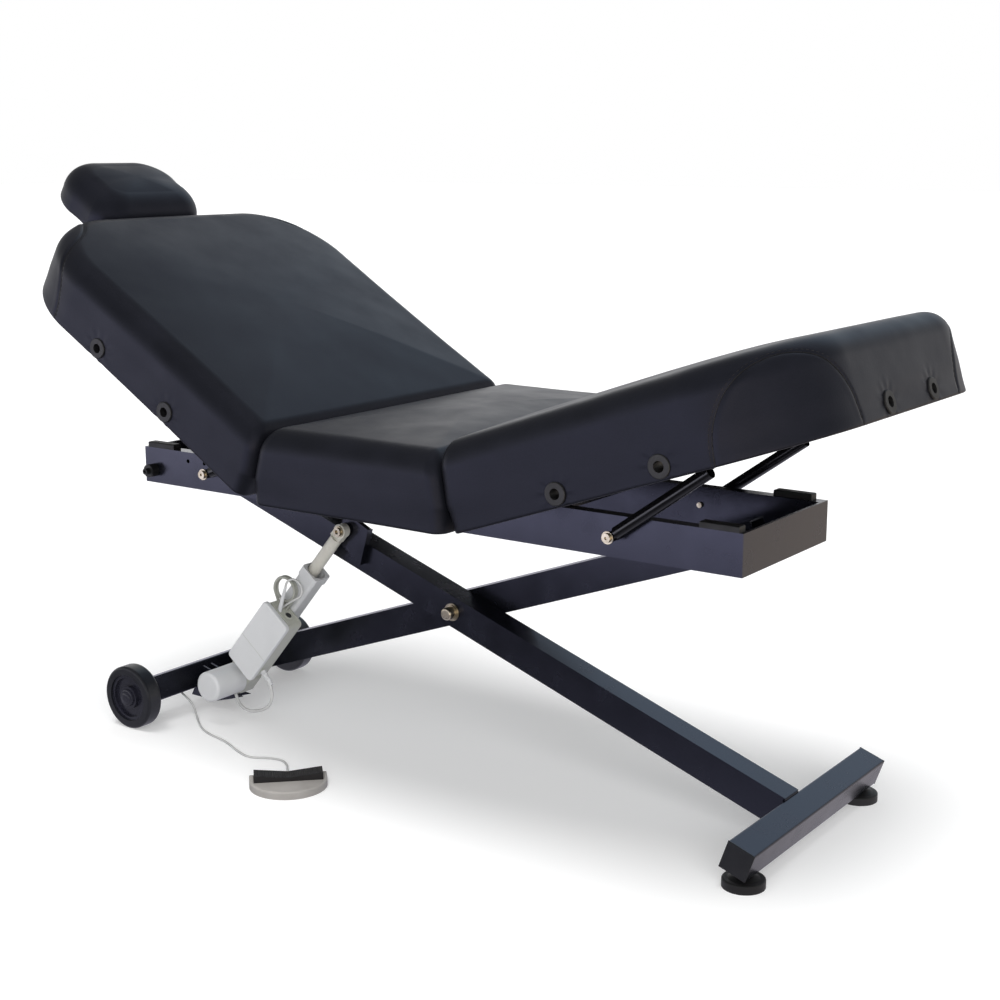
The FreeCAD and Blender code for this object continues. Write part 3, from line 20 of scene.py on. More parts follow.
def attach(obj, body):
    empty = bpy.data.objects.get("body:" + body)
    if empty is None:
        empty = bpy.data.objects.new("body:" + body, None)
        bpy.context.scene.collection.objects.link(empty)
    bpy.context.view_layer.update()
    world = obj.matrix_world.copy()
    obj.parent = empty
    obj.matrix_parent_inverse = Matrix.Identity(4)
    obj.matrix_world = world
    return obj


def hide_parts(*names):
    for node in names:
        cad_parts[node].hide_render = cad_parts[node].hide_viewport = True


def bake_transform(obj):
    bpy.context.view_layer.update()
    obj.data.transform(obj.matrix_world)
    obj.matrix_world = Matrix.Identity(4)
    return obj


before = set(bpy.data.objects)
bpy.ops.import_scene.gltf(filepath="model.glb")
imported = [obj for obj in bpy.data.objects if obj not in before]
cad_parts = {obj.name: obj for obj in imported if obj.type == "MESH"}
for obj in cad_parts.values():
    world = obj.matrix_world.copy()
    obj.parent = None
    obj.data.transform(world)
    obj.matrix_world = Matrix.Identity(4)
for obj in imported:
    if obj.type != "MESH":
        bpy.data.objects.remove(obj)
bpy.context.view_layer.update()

MM = 0.001


def metres(*millimetres):
    """A point given in millimetres, as the drawing gives it."""
    return Vector(value * MM for value in millimetres)


# %% [markdown]
# ## Camera
# The picture of the chair was taken from its right-hand side, a little above seat height, with a
# longish lens. A long lens keeps parallel edges nearly parallel. The camera stands there from
# the start, because every later choice is judged through it.

# %% Camera
LENS_MM, PITCH, TURN = 59.87, 78.0, 35.4
camera_data = bpy.data.cameras.new("Camera")
camera_data.sensor_width = 36.0
camera_data.sensor_fit = "HORIZONTAL"
camera_data.lens = LENS_MM
camera = bpy.data.objects.new("Camera", camera_data)
camera.location = (1.881, -2.45065, 1.150)
camera.rotation_euler = (math.radians(PITCH), 0.0, math.radians(TURN))
bpy.context.collection.objects.link(camera)
bpy.context.scene.camera = camera
print("camera looks", 90 - PITCH, "degrees down")

# %% [markdown]
# ## Small helpers
# A few things repeat through the whole lesson: a mesh made from lists of points and faces, a
# curve made from a few points, and the last steps of each piece, which are its material and the
# body that it rides on. Each gets one short function, so that the cells below can say
# what a piece is instead of how Blender stores it.


# %% Helpers for meshes and curves
def show(name, data):
    """Puts a mesh, a curve or a lamp in the scene."""
    piece = bpy.data.objects.new(name, data)
    bpy.context.collection.objects.link(piece)
    return piece


def show_mesh(name, mesh, crease_angle):
    """Puts a mesh in the scene, smooth except where it turns by more than the angle."""
    mesh.shade_smooth()
    mesh.set_sharp_from_angle(angle=math.radians(crease_angle))
    return show(name, mesh)


def mesh_object(name, points, faces, crease_angle=40.0):
    """A mesh from points in metres and faces."""
    mesh = bpy.data.meshes.new(name)
    mesh.from_pydata([tuple(p) for p in points], [], faces)
    mesh.validate()
    return show_mesh(name, mesh, crease_angle)


def bmesh_object(name, bm, crease_angle=40.0):
    """A mesh from a bmesh, with its faces turned outward."""
    bmesh.ops.recalc_face_normals(bm, faces=bm.faces)
    mesh = bpy.data.meshes.new(name)
    bm.to_mesh(mesh)
    bm.free()
    return show_mesh(name, mesh, crease_angle)


def face_outward(piece):
    """Turns the faces of a closed mesh to its outside."""
    bm = bmesh.new()
    bm.from_mesh(piece.data)
    bmesh.ops.recalc_face_normals(bm, faces=bm.faces)
    bm.to_mesh(piece.data)
    bm.free()


def settle(piece, material, body):
    """The last steps of a piece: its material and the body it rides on."""
    piece.data.materials.append(material)
    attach(piece, body)


def soft_curve(name, points, radius):
    """A round flexible line: a NURBS curve with these control points, in metres."""
    data = bpy.data.curves.new(name, "CURVE")
    data.dimensions = "3D"
    data.bevel_depth = radius / MM
    data.bevel_resolution = 4
    data.resolution_u = 10
    data.use_fill_caps = True
    spline = data.splines.new("NURBS")
    spline.points.add(len(points) - 1)
    for control, place in zip(spline.points, points):
        control.co = (*place, 1.0)
        control.radius = MM
    spline.order_u = 3
    spline.use_endpoint_u = True
    return show(name, data)


def curve_line(curve_object):
    """The smooth line of a curve, read back as points."""
    bare = curve_object.data.copy()
    bare.bevel_depth = 0.0
    holder = bpy.data.objects.new("line", bare)
    mesh = bpy.data.meshes.new_from_object(holder)
    points = [vertex.co.copy() for vertex in mesh.vertices]
    bpy.data.meshes.remove(mesh)
    bpy.data.objects.remove(holder)
    bpy.data.curves.remove(bare)
    return points


def line_length(points):
    """Length of a line through points."""
    return sum((b - a).length for a, b in zip(points, points[1:]))


# %% Helpers for round shapes
def circle(middle, turn, radius, sides):
    """Points of a circle round a middle, square to the Z direction of a rotation."""
    angles = [2 * math.pi * side / sides for side in range(sides)]
    return [middle + turn @ Vector((radius * math.cos(a), radius * math.sin(a), 0))
            for a in angles]


def join_circles(bm, circles):
    """Faces between circles with the same number of points, and over both ends."""
    rings = [[bm.verts.new(point) for point in points] for points in circles]
    for low, high in zip(rings, rings[1:]):
        for side in range(len(low)):
            other = (side + 1) % len(low)
            bm.faces.new((low[side], low[other], high[other], high[side]))
    bm.faces.new(tuple(reversed(rings[0])))
    bm.faces.new(tuple(rings[-1]))


def tube(bm, points, radii, sides=6):
    """A round tube along points, with a radius for each, closed at both ends."""
    circles = []
    for index, (point, radius) in enumerate(zip(points, radii)):
        ahead = points[min(index + 1, len(points) - 1)] - points[max(index - 1, 0)]
        circles.append(circle(point, ahead.to_track_quat("Z", "Y"), radius, sides))
    join_circles(bm, circles)


# %% [markdown]
# ## The pedal's cord
# A thin pale lead comes out under the wheel bar, drops to the floor and wanders to the foot pedal.
# A lead like this is soft, so it lies in easy curves and nowhere stands up by itself. A NURBS
# curve of low order is the right tool: its control points are the places that the CAD tube goes
# round, and the line between them can't kink. Two points near the hole in the bar stand 2 mm
# aside, since the curve cuts the corners and would touch the hole's rim when the lift is down.

# %% Pedal cord
PEDAL_CORD_RADIUS = 2.25 * MM
pedal_cord_route = [
    metres(*place) for place in (
        (-588, -138, 52), (-579.5, -139.8, 38.5), (-555, -143.5, 31), (-532, -151, 23.6),
        (-515, -160, 13.0), (-492, -176, 2.4), (-452, -205, 2.4), (-413, -220, 2.4),
        (-377, -226, 2.4), (-346, -236, 2.4), (-303, -256, 2.4), (-262, -268, 2.4),
        (-229, -247, 2.4), (-200, -240, 2.4), (-172, -257, 4.0), (-149.3, -281.8, 9.0),
        (-135.35, -295.98, 9.0),
    )
]
pedal_cord = soft_curve("pedal_lead", pedal_cord_route, PEDAL_CORD_RADIUS)
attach(pedal_cord, "pedal")
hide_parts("pedal_cord")
print("pedal lead", round(line_length(curve_line(pedal_cord)), 3), "m")

# %% [markdown]
# ## Making a finish
# Every surface below starts from the same small graph. A large soft noise shifts the colour and
# the gloss a little, as handling and moulding do, and a fine pattern becomes a bump. Its scales
# are real sizes in millimetres. One function adds a node, another turns a colour that is written
# as a painter would pick it, in sRGB, into the linear numbers that light needs. Three more
# name the nodes that turn up most: a ramp, a mix and a sum or product.


# %% Helpers for materials
def linear(hex_colour):
    """An sRGB colour such as #a0a0a0 as linear red, green, blue and alpha."""
    channels = [int(hex_colour[i:i + 2], 16) / 255 for i in (1, 3, 5)]
    return [c / 12.92 if c <= 0.04045 else ((c + 0.055) / 1.055) ** 2.4 for c in channels] + [1.0]


def add_node(material, kind, inputs=(), **settings):
    """Adds a node, sets it and its sockets; a socket value that is another socket is linked."""
    tree = material.node_tree
    node = tree.nodes.new("ShaderNode" + kind)
    for name, value in settings.items():
        setattr(node, name, value)
    for name, value in dict(inputs).items():
        if isinstance(value, bpy.types.NodeSocket):
            tree.links.new(value, node.inputs[name])
        else:
            node.inputs[name].default_value = value
    return node


def per_mm(size):
    """The scale of a pattern whose features are this many millimetres apart."""
    return 1000.0 / size


def ramp(material, value, low, high, at_low=0.0, at_high=1.0, kind="LINEAR"):
    """A socket that goes from one number to another while a value goes from low to high."""
    return add_node(material, "MapRange",
                    {"Value": value, "From Min": low, "From Max": high, "To Min": at_low,
                     "To Max": at_high}, interpolation_type=kind).outputs["Result"]


def mix(material, factor, first, second, kind="RGBA"):
    """A socket that blends two colours, or two numbers where the kind is FLOAT."""
    return add_node(material, "Mix", {"Factor": factor, "A": first, "B": second},
                    data_type=kind).outputs["Result"]


def combine(material, operation, first, second):
    """A socket that joins two numbers."""
    return add_node(material, "Math", {0: first, 1: second}, operation=operation).outputs[0]


def finish(name, colour, other_colour, roughness, patch_mm, grain_mm, grain_depth_mm,
           roughness_spread=0.06, metallic=0.0, specular=0.5, sheen_colour="#ffffff",
           grain="noise", stretch=(1, 1, 1)):
    """A surface with slow shifts of colour and gloss and a fine bump, by its real sizes."""
    material = bpy.data.materials.new(name)
    material.use_nodes = True
    shader = material.node_tree.nodes["Principled BSDF"]
    place = add_node(material, "TexCoord").outputs["Object"]
    place = add_node(material, "Mapping", {"Vector": place, "Scale": stretch}).outputs["Vector"]
    patches = add_node(material, "TexNoise",
                       {"Vector": place, "Scale": per_mm(patch_mm), "Detail": 4.0,
                        "Roughness": 0.55}).outputs["Fac"]
    if grain == "cells":
        fine = add_node(material, "TexVoronoi", {"Vector": place, "Scale": per_mm(grain_mm)},
                        feature="SMOOTH_F1").outputs["Distance"]
    else:
        fine = add_node(material, "TexNoise",
                        {"Vector": place, "Scale": per_mm(grain_mm), "Detail": 3.0}).outputs["Fac"]
    relief = add_node(material, "Bump",
                      {"Height": fine, "Strength": 1.0, "Distance": grain_depth_mm * MM})
    link = material.node_tree.links.new
    link(mix(material, ramp(material, patches, 0.35, 0.65), linear(colour), linear(other_colour)),
         shader.inputs["Base Color"])
    link(ramp(material, patches, 0.3, 0.7, roughness - roughness_spread,
              roughness + roughness_spread), shader.inputs["Roughness"])
    link(relief.outputs["Normal"], shader.inputs["Normal"])
    shader.inputs["Metallic"].default_value = metallic
    shader.inputs["Specular IOR Level"].default_value = specular
    shader.inputs["Specular Tint"].default_value = linear(sheen_colour)
    return material


def paint(material, *names):
    """Gives CAD nodes this material, on their objects, so that their meshes stay as they are."""
    for node_name in names:
        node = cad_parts[node_name]
        if not node.material_slots:
            node.data.materials.append(None)
        for slot in node.material_slots:
            slot.link = "OBJECT"
            slot.material = material
    print(material.name, "on", ", ".join(names) or "cables only")


# %% [markdown]
# ## Vinyl
# The covers are upholstery vinyl: a PVC or polyurethane skin, embossed with a leather grain and
# coated to a satin sheen, on a knit backing. Its real pits are under a millimetre, too fine for
# a picture of the whole chair, so they are drawn about 2.5 mm apart and very shallow. Voronoi
# cells look like embossed grain, where plain noise would look like sand.

# %% Vinyl
vinyl = finish("satin_black_vinyl", "#131418", "#17181d", roughness=0.44, patch_mm=90.0,
               grain_mm=2.5, grain_depth_mm=0.10, roughness_spread=0.05, specular=0.24,
               sheen_colour="#d9dcff", grain="cells")
vinyl_thread = finish("bonded_black_thread", "#0d0d0f", "#141416", roughness=0.6, patch_mm=20.0,
                      grain_mm=0.8, grain_depth_mm=0.05)

# %% [markdown]
# ## Steel, painted and plated
# The tubes are powder coated: dry paint that is baked on, and flows into a smooth, slightly
# wavy skin that is called orange peel. Its waves are about 2 mm long. The bolts and washers are
# zinc plated and passivated, which gives a warm silver with cloudy patches. The gas cylinders
# are stove-enamelled tube, smoother and glossier than the frame, and their rods are ground and
# hardened steel.

# %% Steel finishes
powder_coat = finish("black_powder_coat", "#0d0e12", "#111217", roughness=0.25, patch_mm=60.0,
                     grain_mm=2.2, grain_depth_mm=0.05, roughness_spread=0.04, specular=0.62,
                     sheen_colour="#dcdfff")
zinc_plate = finish("yellow_zinc_plate", "#cdc4b0", "#b9ae98", roughness=0.30, patch_mm=8.0,
                    grain_mm=0.8, grain_depth_mm=0.01, metallic=1.0)
cylinder_enamel = finish("gloss_black_enamel", "#0b0b0e", "#101014", roughness=0.20,
                         patch_mm=40.0, grain_mm=3.0, grain_depth_mm=0.01,
                         roughness_spread=0.04)
ground_steel = finish("ground_steel_rod", "#8d8d90", "#7d7d81", roughness=0.26, patch_mm=10.0,
                      grain_mm=0.6, grain_depth_mm=0.004, metallic=1.0)
anodised_rod = finish("cream_enamelled_rod", "#dcd9d0", "#d2cfc5", roughness=0.32, patch_mm=30.0,
                      grain_mm=2.0, grain_depth_mm=0.01)
paint(powder_coat, "long_arm", "foot_bar", "wheel_arm", "wheel_bar", "lift_side_plates",
      "lift_foot_plates", "frame_rails", "frame_cross_members", "roller_guides",
      "headrest_yoke", "back_fittings", "leg_fittings")
paint(zinc_plate, "pivot_washers", "long_arm_bolts", "frame_bolts", "frame_washers",
      "wheel_axle", "glide_studs", "seat_hinge_leaves", "hinge_pins", "headrest_posts")
paint(cylinder_enamel, "leg_spring_tubes", "back_spring_tubes")
paint(ground_steel, "leg_spring_rods", "back_spring_rods")
paint(anodised_rod, "actuator_rod")

# %% [markdown]
# ## Plastics, rubber and wood
# The actuator is moulded ABS in light grey, with a whiter cover over its electronics. Moulded
# ABS has a fine spark-eroded texture and a soft gloss. The wheels are glossy nylon with a
# duller tyre, the grommets, bumpers and glides are black rubber, and the boards under the vinyl
# are birch plywood, whose grain runs lengthwise: there the noise is stretched ten times.

# %% Plastics, rubber and wood
MOULDED = (
    # name, colour, other colour, roughness, patches, grain, depth of the grain, CAD nodes
    ("light_grey_abs", "#bcbdb4", "#b4b5ab", 0.42, 60.0, 1.6, 0.02,
     "actuator_gear_housing", "control_box_body"),
    ("white_abs", "#dcdddf", "#d7d8da", 0.38, 70.0, 1.6, 0.02,
     "control_box_cover", "actuator_column", "actuator_motor"),
    ("warm_grey_abs", "#a9a5a1", "#a09c98", 0.45, 40.0, 1.6, 0.03, "pedal_base"),
    ("black_nylon", "#15161a", "#1a1b1f", 0.36, 30.0, 1.8, 0.03,
     "foot_bar_caps", "wheel_bar_caps", "guide_rollers"),
    ("glossy_black_nylon", "#1f1f28", "#25252f", 0.24, 30.0, 2.5, 0.02,
     "near_wheel", "far_wheel"),
    ("tyre_rubber", "#15161b", "#1b1c21", 0.36, 25.0, 1.5, 0.04, "near_tyre", "far_tyre"),
    ("black_rubber", "#141415", "#1a1a1b", 0.52, 20.0, 1.5, 0.04,
     "glide_pads", "bumpers", "side_peg", "back_grommets", "leg_grommets"),
    ("ribbed_rubber", "#1d1b1c", "#232122", 0.6, 20.0, 1.5, 0.05, "pedal_treadle"),
    ("pale_pvc_jacket", "#d3d3d2", "#c9c9c8", 0.45, 40.0, 1.0, 0.01, "pedal_cord_boot"),
    ("grey_pvc_jacket", "#a9aaa2", "#9d9e96", 0.45, 40.0, 1.0, 0.01),
)
moulded = {}
for name, colour, other_colour, roughness, patch_mm, grain_mm, depth_mm, *nodes in MOULDED:
    moulded[name] = finish(name, colour, other_colour, roughness, patch_mm, grain_mm, depth_mm)
    paint(moulded[name], *nodes)
# The boards are coloured near black. This is painted shade: it darkens the gap under each padded
# top.
plywood = finish("black_plywood_painted_shade", "#1b1917", "#29241f", roughness=0.62, patch_mm=18.0,
                 grain_mm=3.0, grain_depth_mm=0.10, stretch=(0.1, 1, 1))
paint(plywood, "back_deck", "leg_deck", "seat_deck", "headrest_board")
pedal_cord.data.materials.append(moulded["pale_pvc_jacket"])

# %% [markdown]
# ## The covers
# Each section of the top is a plywood board, foam, and a vinyl cover that is pulled tight over
# both and stapled under the edge. Tight vinyl over firm foam makes a form that is easy to
# describe: seen from above it is a rounded rectangle whose long sides draw in a little, and seen
# from the side it is a straight flank, a rounded shoulder and a top that crowns by 15 mm. So the
# cover is lofted: one ring of points per height, all with the same number of points. A cloth
# simulation would add folds that this chair doesn't have.
#
# The cover is a shell. It turns under the rail at the bottom and comes back up inside, so that it
# is a closed mesh which stays clear of the wood. At the hinge it is open in the middle, where the
# steel frame passes.

# %% Where the sections are
HALF_WIDTH = 375.0
HINGE_HEIGHT = 577.0
SEAT_LENGTH = 425.0
BACK_HINGE_X = -135.0
LEG_HINGE_X = BACK_HINGE_X + SEAT_LENGTH
BACK_TILT = math.radians(31.4)
LEG_TILT = math.radians(19.1)
OUTER_CORNER = 185.0
HINGE_CORNER = 24.0
UNDERSIDE = -43.2
SHOULDER, HINGE_SHOULDER = 45.0, 26.0
CROWN = 15.0


def hinged(hinge_x, direction, tilt):
    """Turns (along, across, up) from a hinge, in millimetres, into a point in metres."""
    def place(s, y, t):
        return ((hinge_x + direction * (s * math.cos(tilt) - t * math.sin(tilt))) * MM, y * MM,
                (HINGE_HEIGHT + s * math.sin(tilt) + t * math.cos(tilt)) * MM)
    return place


on_back = hinged(BACK_HINGE_X, -1, BACK_TILT)
on_leg = hinged(LEG_HINGE_X, 1, LEG_TILT)
on_seat = hinged(BACK_HINGE_X, 1, 0.0)
print("back hinge", on_back(0, 0, 0), "leg hinge", on_leg(0, 0, 0))


# %% Rings of points
def ring_columns(corner_points, hinge_corner_points, side_points, end_points, hinge_points):
    """The places round a ring, as (stretch, share along it), from the near hinge corner round."""
    counts = (("hinge", hinge_points), ("hinge corner far", hinge_corner_points),
              ("side far", side_points), ("end corner far", corner_points), ("end", end_points),
              ("end corner near", corner_points), ("side near", side_points),
              ("hinge corner near", hinge_corner_points))
    return [(stretch, i / count) for stretch, count in counts for i in range(count)]


def ring_point(column, start, stop, half, hinge_corner, end_corner, draw):
    """One point of a ring: how far along the section, and how far across."""
    stretch, share = column
    drawn_half = half - draw * (1 - (2 * share - 1) ** 2)
    low, high = start + hinge_corner, stop - end_corner
    sine, cosine = math.sin(share * math.pi / 2), math.cos(share * math.pi / 2)
    return {
        "hinge": (start, (half - hinge_corner) * (2 * share - 1)),
        "hinge corner far": (low - hinge_corner * cosine,
                             half - hinge_corner + hinge_corner * sine),
        "side far": (low + (high - low) * share, drawn_half),
        "end corner far": (high + end_corner * sine, half - end_corner + end_corner * cosine),
        "end": (stop, (half - end_corner) * (1 - 2 * share)),
        "end corner near": (high + end_corner * cosine, end_corner - half - end_corner * sine),
        "side near": (high + (low - high) * share, -drawn_half),
        "hinge corner near": (low - hinge_corner * sine,
                              hinge_corner - half - hinge_corner * cosine),
    }[stretch]


def smooth_step(value, low, high):
    """0 below low, 1 above high, smooth between."""
    share = min(max((value - low) / (high - low), 0.0), 1.0)
    return share * share * (3 - 2 * share)


# %% Heights of the rings
SHELL_ROOF, SHELL_WALL = 3.2, 4.75
LIP_TOP, LIP = -42.3, 21.0
FLANK_DRAW, FLANK_LEAN, EDGE_LEAN = 2.0, 1.3, 1.2
TOP_EDGE_TURN = math.radians(87.0)
TOP_PATH = 340.0
TOP_SHARES = (0.985, 0.96, 0.92, 0.87, 0.8, 0.7, 0.58, 0.45, 0.32, 0.2, 0.1, 0.04)


def cover_levels(height, side_step, turn_steps):
    """The rings from the inside of the shell, round the bottom edge and up to the crown."""
    shell = [(SHELL_ROOF, SHELL_WALL, share) for share in (0.2, 0.6, 0.9, 1.0)]
    shell += [(t, SHELL_WALL, 1.0) for t in (-8.0, -20.0, -32.0, LIP_TOP)]
    shell += [(LIP_TOP, 12.0, 1.0), (LIP_TOP, LIP, 1.0)]
    shell += [(UNDERSIDE, inset, 1.0) for inset in (LIP + 0.6, 12.0, 4.5)]
    levels = [dict(t=t, inset=inset, hinge_inset=inset, share=share, draw=FLANK_DRAW, path=None)
              for t, inset, share in shell]
    shoulder_base = height - CROWN - SHOULDER
    low = UNDERSIDE + 2.4
    steps = math.ceil((shoulder_base - low) / side_step)
    for t in [UNDERSIDE + 0.9, low] + [low + (shoulder_base - low) * (i + 1) / steps
                                       for i in range(steps)]:
        inset = (FLANK_LEAN * (1 - smooth_step(t, -25.0, 15.0))
                 + EDGE_LEAN * (1 - smooth_step(t, UNDERSIDE, -40)))
        levels.append(dict(t=t, inset=inset, hinge_inset=inset, share=1.0, path=t - UNDERSIDE,
                           draw=FLANK_DRAW * (1 + smooth_step(t, -20.0, 30.0))))
    for i in range(turn_steps):
        turn = TOP_EDGE_TURN * (i + 1) / turn_steps
        levels.append(dict(t=shoulder_base + SHOULDER * math.sin(turn),
                           inset=SHOULDER * (1 - math.cos(turn)),
                           hinge_inset=HINGE_SHOULDER * (1 - math.cos(turn)), share=1.0,
                           draw=2 * FLANK_DRAW, path=shoulder_base - UNDERSIDE + SHOULDER * turn))
    edge = levels[-1]
    return levels + [dict(edge, t=edge["t"] + (height - edge["t"]) * (1 - share ** 2),
                          share=share, path=edge["path"] + TOP_PATH * (1 - share))
                     for share in TOP_SHARES]


def loft(columns, levels, bounds_at, half, hinge_corner, end_corner, both_hinged):
    """The grid of points, in section coordinates, one row per level."""
    grid = np.zeros((len(levels), len(columns), 3))
    for row, level in enumerate(levels):
        inset = level["inset"]
        start, stop = bounds_at(level["t"])
        start += level["hinge_inset"]
        stop -= level["hinge_inset"] if both_hinged else inset
        hinge_round = max(hinge_corner - 0.5 * inset, 8.0)
        end_round = hinge_round if both_hinged else end_corner - inset
        middle = (start + stop) / 2
        for index, column in enumerate(columns):
            s, y = ring_point(column, start, stop, half - inset, hinge_round, end_round,
                              level["draw"])
            share = level["share"]
            grid[row, index] = (middle + (s - middle) * share, y * share, level["t"])
    return grid


FRAME_TOP, FRAME_SIDE, LEFT_HANGING = -2.0, (184.0, 194.0), 0.227


def open_for_frame(grid, columns, both_hinged):
    """Lifts the hinge ends of the shell in the middle, where the steel frame passes."""
    for index, (stretch, share) in enumerate(columns):
        if stretch != "hinge" and not (both_hinged and stretch == "end"):
            continue
        for point in grid[:, index]:
            raised = FRAME_TOP + (point[2] - FRAME_TOP) * LEFT_HANGING
            if point[2] < FRAME_TOP:
                point[2] += (raised - point[2]) * (1 - smooth_step(abs(point[1]), *FRAME_SIDE))


def grid_normals(grid):
    """The outward direction at each point of a grid."""
    around = np.roll(grid, -1, axis=1) - np.roll(grid, 1, axis=1)
    up = np.gradient(grid, axis=0)
    normals = np.cross(around, up)
    sizes = np.linalg.norm(normals, axis=2, keepdims=True)
    return -normals / np.maximum(sizes, 1e-9)


def grid_faces(rows, count):
    """Quads between the rows of a grid that closes on itself, and fans for its two ends."""
    faces = []
    for row in range(rows - 1):
        for index in range(count):
            ahead = (index + 1) % count
            faces.append((row * count + index, row * count + ahead,
                          (row + 1) * count + ahead, (row + 1) * count + index))
    faces.append(tuple(reversed(range(count))))
    faces.append(tuple((rows - 1) * count + index for index in range(count)))
    return faces


# %% [markdown]
# ## Seams and grommets
# At its two free corners each tilting section has a separate panel of vinyl, set in with a seam
# that rises like an arch from the bottom edge. The seam shows as a thin line in a shallow valley.
# The valley is pressed into the rings. The line itself is narrower than the spacing of the
# points, so it is its own thin strip of thread, laid into the valley afterwards.
#
# Rubber grommets sit in the flanks. The vinyl is pulled down round each, with small puckers, and
# a hole is cut for its sleeve with a boolean, which is the surest way to put a clean round hole
# into a dense mesh.

# %% Arch seams and puckers in the rings
ARCH_CENTRE = 158.0
ARCH_HALF_WIDTH = 130.0
CORNER_ARC = OUTER_CORNER * math.pi / 2
SEAM_DEPTH, SEAM_WIDTH = 2.0, 3.0
PUFF, PUFF_WIDTH, PUFF_PLACE = 0.5, 6.0, -9.0
GROMMET_HEIGHT, GROMMET_HOLE, END_GROMMET_Y = -21.0, 12.3, 88.0
HOLE_REACH = 16.0
SINK, SINK_WIDTH = 1.3, 17.0
PUCKERS, PUCKER_DEPTH, PUCKER_PLACE, PUCKER_WIDTH, PUCKER_END = 9, 0.45, 27.0, 10.0, 70.0


def seam_distance(along_arc, up_path, arch_height):
    """About how far a place on the cover is from the arch, and on which side."""
    x = (along_arc - ARCH_CENTRE) / ARCH_HALF_WIDTH
    y = up_path / arch_height
    q = math.hypot(x, y)
    slope = math.hypot(x / ARCH_HALF_WIDTH, y / arch_height) / max(q, 0.05)
    return (q - 1) / max(slope, 0.001)


def arc_place(column):
    """How far round the outer corner a column is, from the flank, in millimetres."""
    stretch, share = column
    if stretch == "end corner far":
        return share * CORNER_ARC
    if stretch == "end corner near":
        return (1 - share) * CORNER_ARC
    return None


def grommet_places(length, along):
    """The middle of each grommet in section coordinates, with its direction."""
    places = [((s, side * HALF_WIDTH, GROMMET_HEIGHT), (0, side, 0))
              for s in along for side in (-1, 1)]
    return places + [((length, side * END_GROMMET_Y, GROMMET_HEIGHT), (1, 0, 0))
                     for side in (-1, 1)]


def seam_relief(distance):
    """A valley 2 mm deep along a seam, with the foam slightly puffed beside it."""
    return (PUFF * math.exp(-((distance - PUFF_PLACE) / PUFF_WIDTH) ** 2)
            - SEAM_DEPTH * math.exp(-(distance / SEAM_WIDTH) ** 2))


def pucker_relief(point, grommets):
    """The vinyl sinks towards a grommet and gathers round it."""
    relief = 0.0
    for (s, y, t), (_, across, _) in grommets:
        beside = across * point[1] < abs(y) - 12 if across else point[0] < s - 8
        sideways = point[0] - s if across else point[1] - y
        reach = math.hypot(sideways, point[2] - t)
        if reach < PUCKER_END and not beside:
            angle = math.atan2(point[2] - t, sideways)
            gather = math.exp(-((reach - PUCKER_PLACE) / PUCKER_WIDTH) ** 2)
            relief -= SINK * math.exp(-(reach / SINK_WIDTH) ** 2)
            relief += PUCKER_DEPTH * math.cos(PUCKERS * angle) * gather
    return relief


def waviness(point):
    """Foam and vinyl are never quite flat: slow waves of about half a millimetre."""
    slow = noise.noise(Vector(point) / 130.0)
    medium = noise.noise(Vector(point) / 48.0 + Vector((7, 3, 1)))
    return 0.7 * slow + 0.25 * medium


def dress(grid, columns, levels, arch_height, grommets):
    """Moves the outside of a cover along its normals: seams, puckers and waves."""
    normals = grid_normals(grid)
    for row, level in enumerate(levels):
        if level["path"] is None:
            continue
        fade = smooth_step(level["path"], 2.0, 12.0)
        for index, column in enumerate(columns):
            point = grid[row, index]
            relief = fade * waviness(point)
            place = arc_place(column)
            if arch_height and place is not None:
                relief += fade * seam_relief(seam_distance(place, level["path"], arch_height))
            if level["share"] == 1.0 and point[2] < 45.0:
                relief += pucker_relief(point, grommets)
            grid[row, index] = point + normals[row, index] * relief


# %% Turning a grid into a cover
def cover_mesh(name, grid, place):
    """The closed mesh of a cover, in metres where the section stands."""
    rows, count, _ = grid.shape
    points = [place(*point) for point in grid.reshape(-1, 3)]
    piece = mesh_object(name, points, grid_faces(rows, count), crease_angle=50.0)
    face_outward(piece)
    piece.data.materials.append(vinyl)
    return piece


def settle_cover(cover, moving_body, plane, nodes):
    """The last steps of a cover: its place baked in, the CAD pads it replaces hidden; its body and
    plane are not used.
    """
    start, end = plane
    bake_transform(cover)
    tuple(start)
    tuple(end)
    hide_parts(*nodes)
    print(cover.name, len(cover.data.vertices), "points")


def cut_holes(piece, grommets, place):
    """Cuts a round hole through the cover at each grommet."""
    bm = bmesh.new()
    for middle, direction in grommets:
        ends = [Vector(place(*(m + d * out for m, d in zip(middle, direction))))
                for out in (-HOLE_REACH, HOLE_REACH)]
        axis = ends[1] - ends[0]
        turn = axis.to_track_quat("Z", "Y").to_matrix().to_4x4()
        bmesh.ops.create_cone(bm, cap_ends=True, segments=40, radius1=GROMMET_HOLE * MM,
                              radius2=GROMMET_HOLE * MM, depth=axis.length,
                              matrix=Matrix.Translation((ends[0] + ends[1]) / 2) @ turn)
    cutter = bmesh_object("cutter", bm)
    modifier = piece.modifiers.new("holes", "BOOLEAN")
    modifier.operation = "DIFFERENCE"
    modifier.solver = "EXACT"
    modifier.object = cutter
    bpy.context.view_layer.update()
    cut = bpy.data.meshes.new_from_object(piece.evaluated_get(
        bpy.context.evaluated_depsgraph_get()))
    piece.modifiers.clear()
    piece.data = cut
    bpy.data.objects.remove(cutter)
    cut.set_sharp_from_angle(angle=math.radians(50.0))


